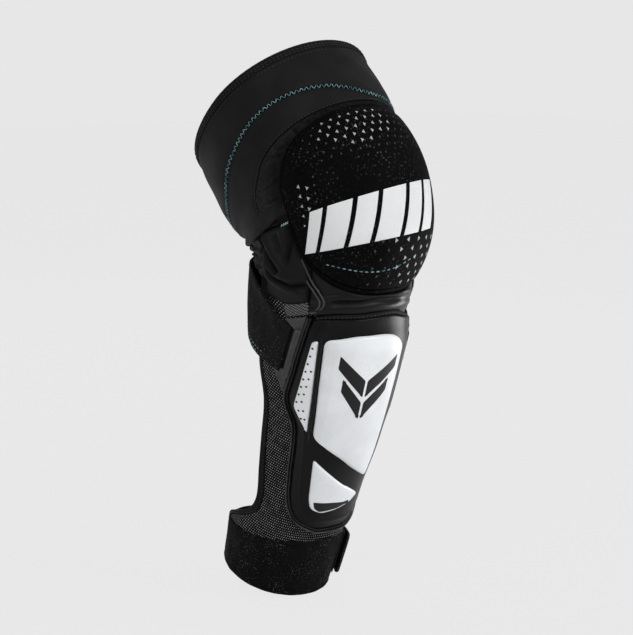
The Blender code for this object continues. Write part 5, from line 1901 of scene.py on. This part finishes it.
    def creased(self, angle: Array, height: Array) -> tuple[Array, Array]:
        """Find how the side pads are creased.

        Args:
            angle: Angles round the leg.
            height: Heights along the leg.

        Returns:
            How far the points sink and how dark their painted shade is.
        """
        sunk = np.zeros_like(angle)
        shade = np.zeros_like(angle)
        for path, width, deep in self.pad_creases:
            gap = distance_to_path(np.abs(angle), height, path)
            sunk = sunk + deep * (bump(gap, width) - 0.4 * bump(gap - 2.6 * width, 1.2 * width))
            # Painted shade along the creases.
            shade = shade + 0.3 * deep * bump(gap, 0.9 * width)
        return sunk, shade

    def puff(self, angle: Array, height: Array, edge: Array) -> Array:
        """Return the side pads' crown and creases."""
        crown = self.pad_crown * (1 - np.exp(-edge / 6)) * (0.35 + 0.65 * ease((height - 290) / 12))
        return crown - self.creased(angle, height)[0] * ease(edge / 4)

    def pad_painted_shade(self, angle: Array, height: Array, edge: Array) -> Array:
        """Return the side pads' painted shade in their creases and along their edges."""
        return self.creased(angle, height)[1] + 0.8 * bump(edge, 1.6)

    def pad_back(self, angle: Array, height: Array) -> Array:
        """Return the lift of the side pads' inner face, which passes over the mesh panel."""
        return 2.5 * ease((self.bench.cut.panel_top + 2 - height) / 2)

    def build_pads(self) -> None:
        """Build the soft pads at the sides of the knee."""
        bench = self.bench
        cut = bench.cut
        low = cut.panel_top + 0.2
        high = cut.panel_low - 0.2
        front = cut.cup_edge(4, 270, 360)
        front = front[(front[:, 0] > 67.2) & (front[:, 1] > low) & (front[:, 1] < high)]
        outline = np.vstack((front, (front[-1, 0] + 1, high), (108, high), (112, low + 20), (112, 276.5),
                             (95, 280.5), (67.2, 291), (67.2, front[0, 1] - 2)))
        for word, shape in (("inner", outline), ("outer", mirrored(outline))):
            item = bench.wall(Piece(f"side_pad_{word}_cushion", NEOPRENE, UNDER_CUP, f"side_pad_{word}"),
                              patch(shape, 1.3), self.pad_back, self.pad_wall, 2.4, self.puff, self.pad_painted_shade)

    def build_vents(self) -> None:
        """Build the hatched mesh vents below the side pads."""
        vent = rounded(self.vent, 2.5)
        for word, shape in (("inner", vent), ("outer", mirrored(vent))):
            item = self.bench.wall(Piece(f"knee_vent_{word}_mesh", HATCH, SHIN),
                                   patch(shape, 1.6), 2.3, 4.4, 1)
            self.bench.declare_sheet(item, f"mesh_panel_{word}_cloth")

    def crumples(self, angle: Array, height: Array, edge: Array) -> Array:
        """Return the crumples that run across the back of the knee."""
        share = (height - 290) / 64 + 0.06 * np.sin(angle * 0.13) + 0.04 * np.sin(angle * 0.31 + 1)
        return 2.4 * np.sin(math.pi * share * 4) ** 2 + 0.7 * np.sin(angle * 0.5 + height * 0.21)

    def build_rear(self) -> None:
        """Build the crumpled fabric behind the knee."""
        bench = self.bench
        cut = bench.cut
        angles = np.linspace(cut.pad_rear + 0.4, 360 - cut.pad_rear - 0.4, 90)
        lower = path_at(angles, np.maximum(self.strap.top(angles), cut.panel_top) + 3)
        rows = band_between(lower, path_at(angles, cut.panel_low - 0.2), 2)
        item = bench.wall(Piece("rear_sleeve_cloth", NEOPRENE, KNEE_BACK, "rear_sleeve"), rows, 0, self.wall,
                          1.2, self.crumples)
        bench.declare_sheet(item, "calf_strap_elastic", trims=self.build_lining())

    def build_lining(self) -> list[Item]:
        """Build the knit lining that closes the gaps between the pads, the cup and the rear sleeve.

        Returns:
            The lining's pieces.
        """
        high = self.bench.cut.panel_low + 5
        pieces = (
            ("inner", (64, 116), high, -0.2, UNDER_CUP),
            ("outer", (-116, -64), high, -0.2, UNDER_CUP),
            ("front", (-67, 67), self.bench.cut.cup_low + 16, -1.3, UNDER_CUP),
            ("rear", (110, 250), high, -1.3, KNEE_BACK),
        )
        made = []
        for word, span, top, lift, motion in pieces:
            edges = [path_at(np.linspace(*span, 40), height) for height in (self.lining_low, top)]
            made.append(self.bench.wall(Piece(f"knee_lining_{word}", LINER, motion), band_between(*edges, 3),
                                        lift - self.lining_wall, lift, 0.4))
        return made


@dataclass
class ThighCuff:
    """The thigh sleeve, the cuff above it, its hem and its grip strip."""

    bench: Bench
    sleeve_wall: float = 3.2
    cuff_wall: float = 4.2
    seam_gap: float = 0.1
    hem_wall: float = 5.4
    hem_lap: float = 3.0
    grip_low: float = 455.0
    grip_width: float = 12.0
    hem_rows: tuple = ((-1, 5.35), (1.6, 5.1), (5.2, 4.2))

    def ripple(self, angle: Array, height: Array, edge: Array) -> Array:
        """Return the cuff's shallow wrinkles."""
        waves = np.sin(angle * 0.09 + height * 0.11) + 0.6 * np.sin(angle * 0.21 - height * 0.17 + 0.8)
        return 0.35 * waves * ease(edge / 8) - 0.4 * bump(edge - 2.4, 0.8)

    def seam_painted_shade(self, angle: Array, height: Array, edge: Array) -> Array:
        """Return the painted shade where the fabric turns under at a seam."""
        return 0.9 * bump(edge, 1.9)

    def thread_lift(self, angle: Array, height: Array) -> Array:
        """Return the lift of the thread that joins the sleeve to the thicker cuff."""
        return 3.9 + 0.4 * (height - self.bench.cut.cuff_seam(angle))

    def build(self) -> None:
        """Build and dress the thigh end."""
        bench = self.bench
        cut = bench.cut
        angles = np.linspace(-180, 180, 241)
        seam = path_at(angles, cut.cuff_seam(angles))
        top = path_at(angles, cut.cuff_top)
        foot = np.vstack((path_at((-180, -140), cut.panel_low), cut.arch()[::-1],
                          path_at((140, 180), cut.panel_low)))
        rows = band_between(foot, seam - (0, self.seam_gap), 2.2, True)
        sleeve = bench.wall(Piece("thigh_sleeve_cloth", NEOPRENE, OVER_CUP, "thigh_sleeve"), rows, 0,
                            self.sleeve_wall, 1.4, self.ripple, self.seam_painted_shade)
        bench.declare_sheet(sleeve, "cup_surround_cloth")
        rows = band_between(seam + (0, self.seam_gap), top, 2.2, True)
        cuff = bench.wall(Piece("thigh_cuff_cloth", NEOPRENE, OVER_CUP, "thigh_cuff"), rows, 0,
                          self.cuff_wall, 1.6, self.ripple, self.seam_painted_shade)
        rows = band_between(top - (0, self.hem_lap), path_at(angles, cut.rim), 1.2, True)
        hem = bench.wall(Piece("thigh_hem_tape", BINDING, THIGH, "thigh_hem"), rows, -0.8, self.hem_wall, 3,
                         lambda a, h, e: 0.3 * np.sin(a * 1.3) * np.sin(h * 0.9) * ease(e / 2))
        bench.declare_sheet(cuff, sleeve.name, trims=(hem,))
        grip = path_at(angles, self.grip_low)
        bench.wall(Piece("thigh_grip_strip", GRIP, THIGH, "thigh_grip"),
                   band_between(grip, grip + (0, self.grip_width), 2, True), -1.6, -0.2, 0.6)
        bench.stitches(Piece("cuff_seam_teal", TEAL, OVER_CUP), seam, self.thread_lift, 3.5, 0.25, 0.25, 56)
        for index, (inset, lift) in enumerate(self.hem_rows):
            bench.stitches(Piece(f"hem_stitches_{index + 1}", BLACK_THREAD, THIGH), top - (0, inset), lift,
                           2.4, 1.3, 0.34, 16)
        bench.stitches(Piece("arch_seam_stitches", BLACK_THREAD, OVER_CUP), cut.arch() + (0, 1.6),
                       3.15, 2.4, 1, 0.3)


@dataclass(frozen=True)
class Studio:
    """The camera, the soft lights and the pale floor."""

    azimuth: float = -42.5
    elevation: float = 6.0
    distance: float = 1.8
    aim_right: float = -0.0347
    aim_up: float = -0.0806
    lens: float = 113.7
    sensor: float = 36.0
    background: float = 0.799
    floor_glow: float = 0.813
    floor_share: float = 0.96
    fill_light: float = 0.37
    light_aim: tuple = (0, 0, -0.1)
    soft_boxes: tuple = (
        ("key", (-1.6, -1.2, 1.6), 1.4, 24, 180),
        ("front", (0.9, -2, 1.3), 0.9, 27, 180),
        ("low", (0.58, -0.16, -0.25), 0.26, 0.32, 70),
        ("back", (0.8, 1.8, 1.4), 1.5, 18, 180),
    )

    def build(self, floor: float) -> None:
        """Set up the stage.

        Args:
            floor: The height of the floor in metres.
        """
        self.build_camera()
        self.build_floor(floor)
        self.build_world()
        self.build_lights()
        bpy.context.scene.view_settings.view_transform = "Standard"

    def build_camera(self) -> None:
        """Add the camera at the photograph's viewing angle."""
        turn = math.radians(self.azimuth)
        rise = math.radians(self.elevation)
        outward = Vector((math.sin(turn) * math.cos(rise), -math.cos(turn) * math.cos(rise), math.sin(rise)))
        right = Vector((math.cos(turn), math.sin(turn), 0))
        aim = right * self.aim_right + outward.cross(right) * self.aim_up
        bpy.ops.object.camera_add(location=outward * self.distance)
        camera = bpy.context.object
        camera.rotation_euler = (camera.location - aim).to_track_quat("Z", "Y").to_euler()
        camera.data.lens = self.lens
        camera.data.sensor_width = self.sensor
        camera.data.sensor_fit = "HORIZONTAL"
        bpy.context.scene.camera = camera

    def show_camera(self, graph: Graph, plain: bpy.types.Node, seen: bpy.types.Node, share: float) -> Socket:
        """Mix a shader that lights the object with one that only the camera sees.

        Args:
            graph: The node tree that is being wired.
            plain: The shader for all other rays.
            seen: The shader for the camera.
            share: How much of it the camera sees.

        Returns:
            The mixed shader.
        """
        path = graph.node("ShaderNodeLightPath")
        mixed = graph.node("ShaderNodeMixShader")
        graph.feed(mixed.inputs[0], graph.math("MULTIPLY", path.outputs["Is Camera Ray"], share))
        graph.feed(mixed.inputs[1], plain.outputs[0])
        graph.feed(mixed.inputs[2], seen.outputs[0])
        return mixed.outputs[0]

    def build_floor(self, floor: float) -> None:
        """Add a wide pale floor that takes a soft shadow.

        Args:
            floor: Its height in metres.
        """
        bpy.ops.mesh.primitive_plane_add(size=14, location=(0, 0, floor))
        ground = bpy.context.object
        ground.name = "floor"
        material = bpy.data.materials.new("pale_floor")
        material.use_nodes = True
        graph = Graph(material.node_tree)
        shader = material.node_tree.nodes["Principled BSDF"]
        shader.inputs["Base Color"].default_value = (0.8, 0.8, 0.8, 1.0)
        shader.inputs["Roughness"].default_value = 0.95
        shader.inputs["Specular IOR Level"].default_value = 0.0
        glow = graph.node("ShaderNodeEmission")
        glow.inputs["Color"].default_value = (self.floor_glow, self.floor_glow, self.floor_glow, 1.0)
        surface = self.show_camera(graph, shader, glow, self.floor_share)
        graph.feed(material.node_tree.nodes["Material Output"].inputs["Surface"], surface)
        ground.data.materials.append(material)
        ground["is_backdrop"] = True

    def build_world(self) -> None:
        """Light the scene evenly from all round, with the background's own tone for the camera."""
        world = bpy.data.worlds.new("studio")
        bpy.context.scene.world = world
        world.use_nodes = True
        graph = Graph(world.node_tree)
        even = world.node_tree.nodes["Background"]
        even.inputs["Color"].default_value = (1.0, 1.0, 1.0, 1.0)
        even.inputs["Strength"].default_value = self.fill_light
        seen = graph.node("ShaderNodeBackground")
        seen.inputs["Color"].default_value = (self.background, self.background, self.background, 1.0)
        surface = self.show_camera(graph, even, seen, 1)
        graph.feed(world.node_tree.nodes["World Output"].inputs["Surface"], surface)

    def build_lights(self) -> None:
        """Hang the soft boxes."""
        for name, place, size, power, spread in self.soft_boxes:
            bpy.ops.object.light_add(type="AREA", location=place)
            lamp = bpy.context.object
            lamp.name = f"soft_box_{name}"
            lamp.data.size = size
            lamp.data.energy = power
            lamp.data.spread = math.radians(spread)
            lamp.rotation_euler = (Vector(place) - Vector(self.light_aim)).to_track_quat("Z", "Y").to_euler()


def corners(box: tuple) -> list[list[float]]:
    """Return a box's two corners as plain lists."""
    return [[round(float(value), 5) for value in corner] for corner in box]


def main() -> None:
    """Load the frame, dress every piece and set up the studio."""
    logging.basicConfig(level=logging.INFO, format="%(message)s")
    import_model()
    cad_box = corners(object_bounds())
    bench = Bench(LegForm(), Cut(), FinishShop())
    panels = SidePanels(bench)
    strap = CalfStrap(bench, panels)
    for part in (ShinArmour(bench), panels, strap, AnkleBand(bench), KneeCup(bench), KneeSleeve(bench, strap),
                 ThighCuff(bench)):
        part.build()
    Studio().build(cad_box[0][2] - 0.001)
    {"cad": cad_box, "visual": corners(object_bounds())}


if __name__ == "__main__":
    main()
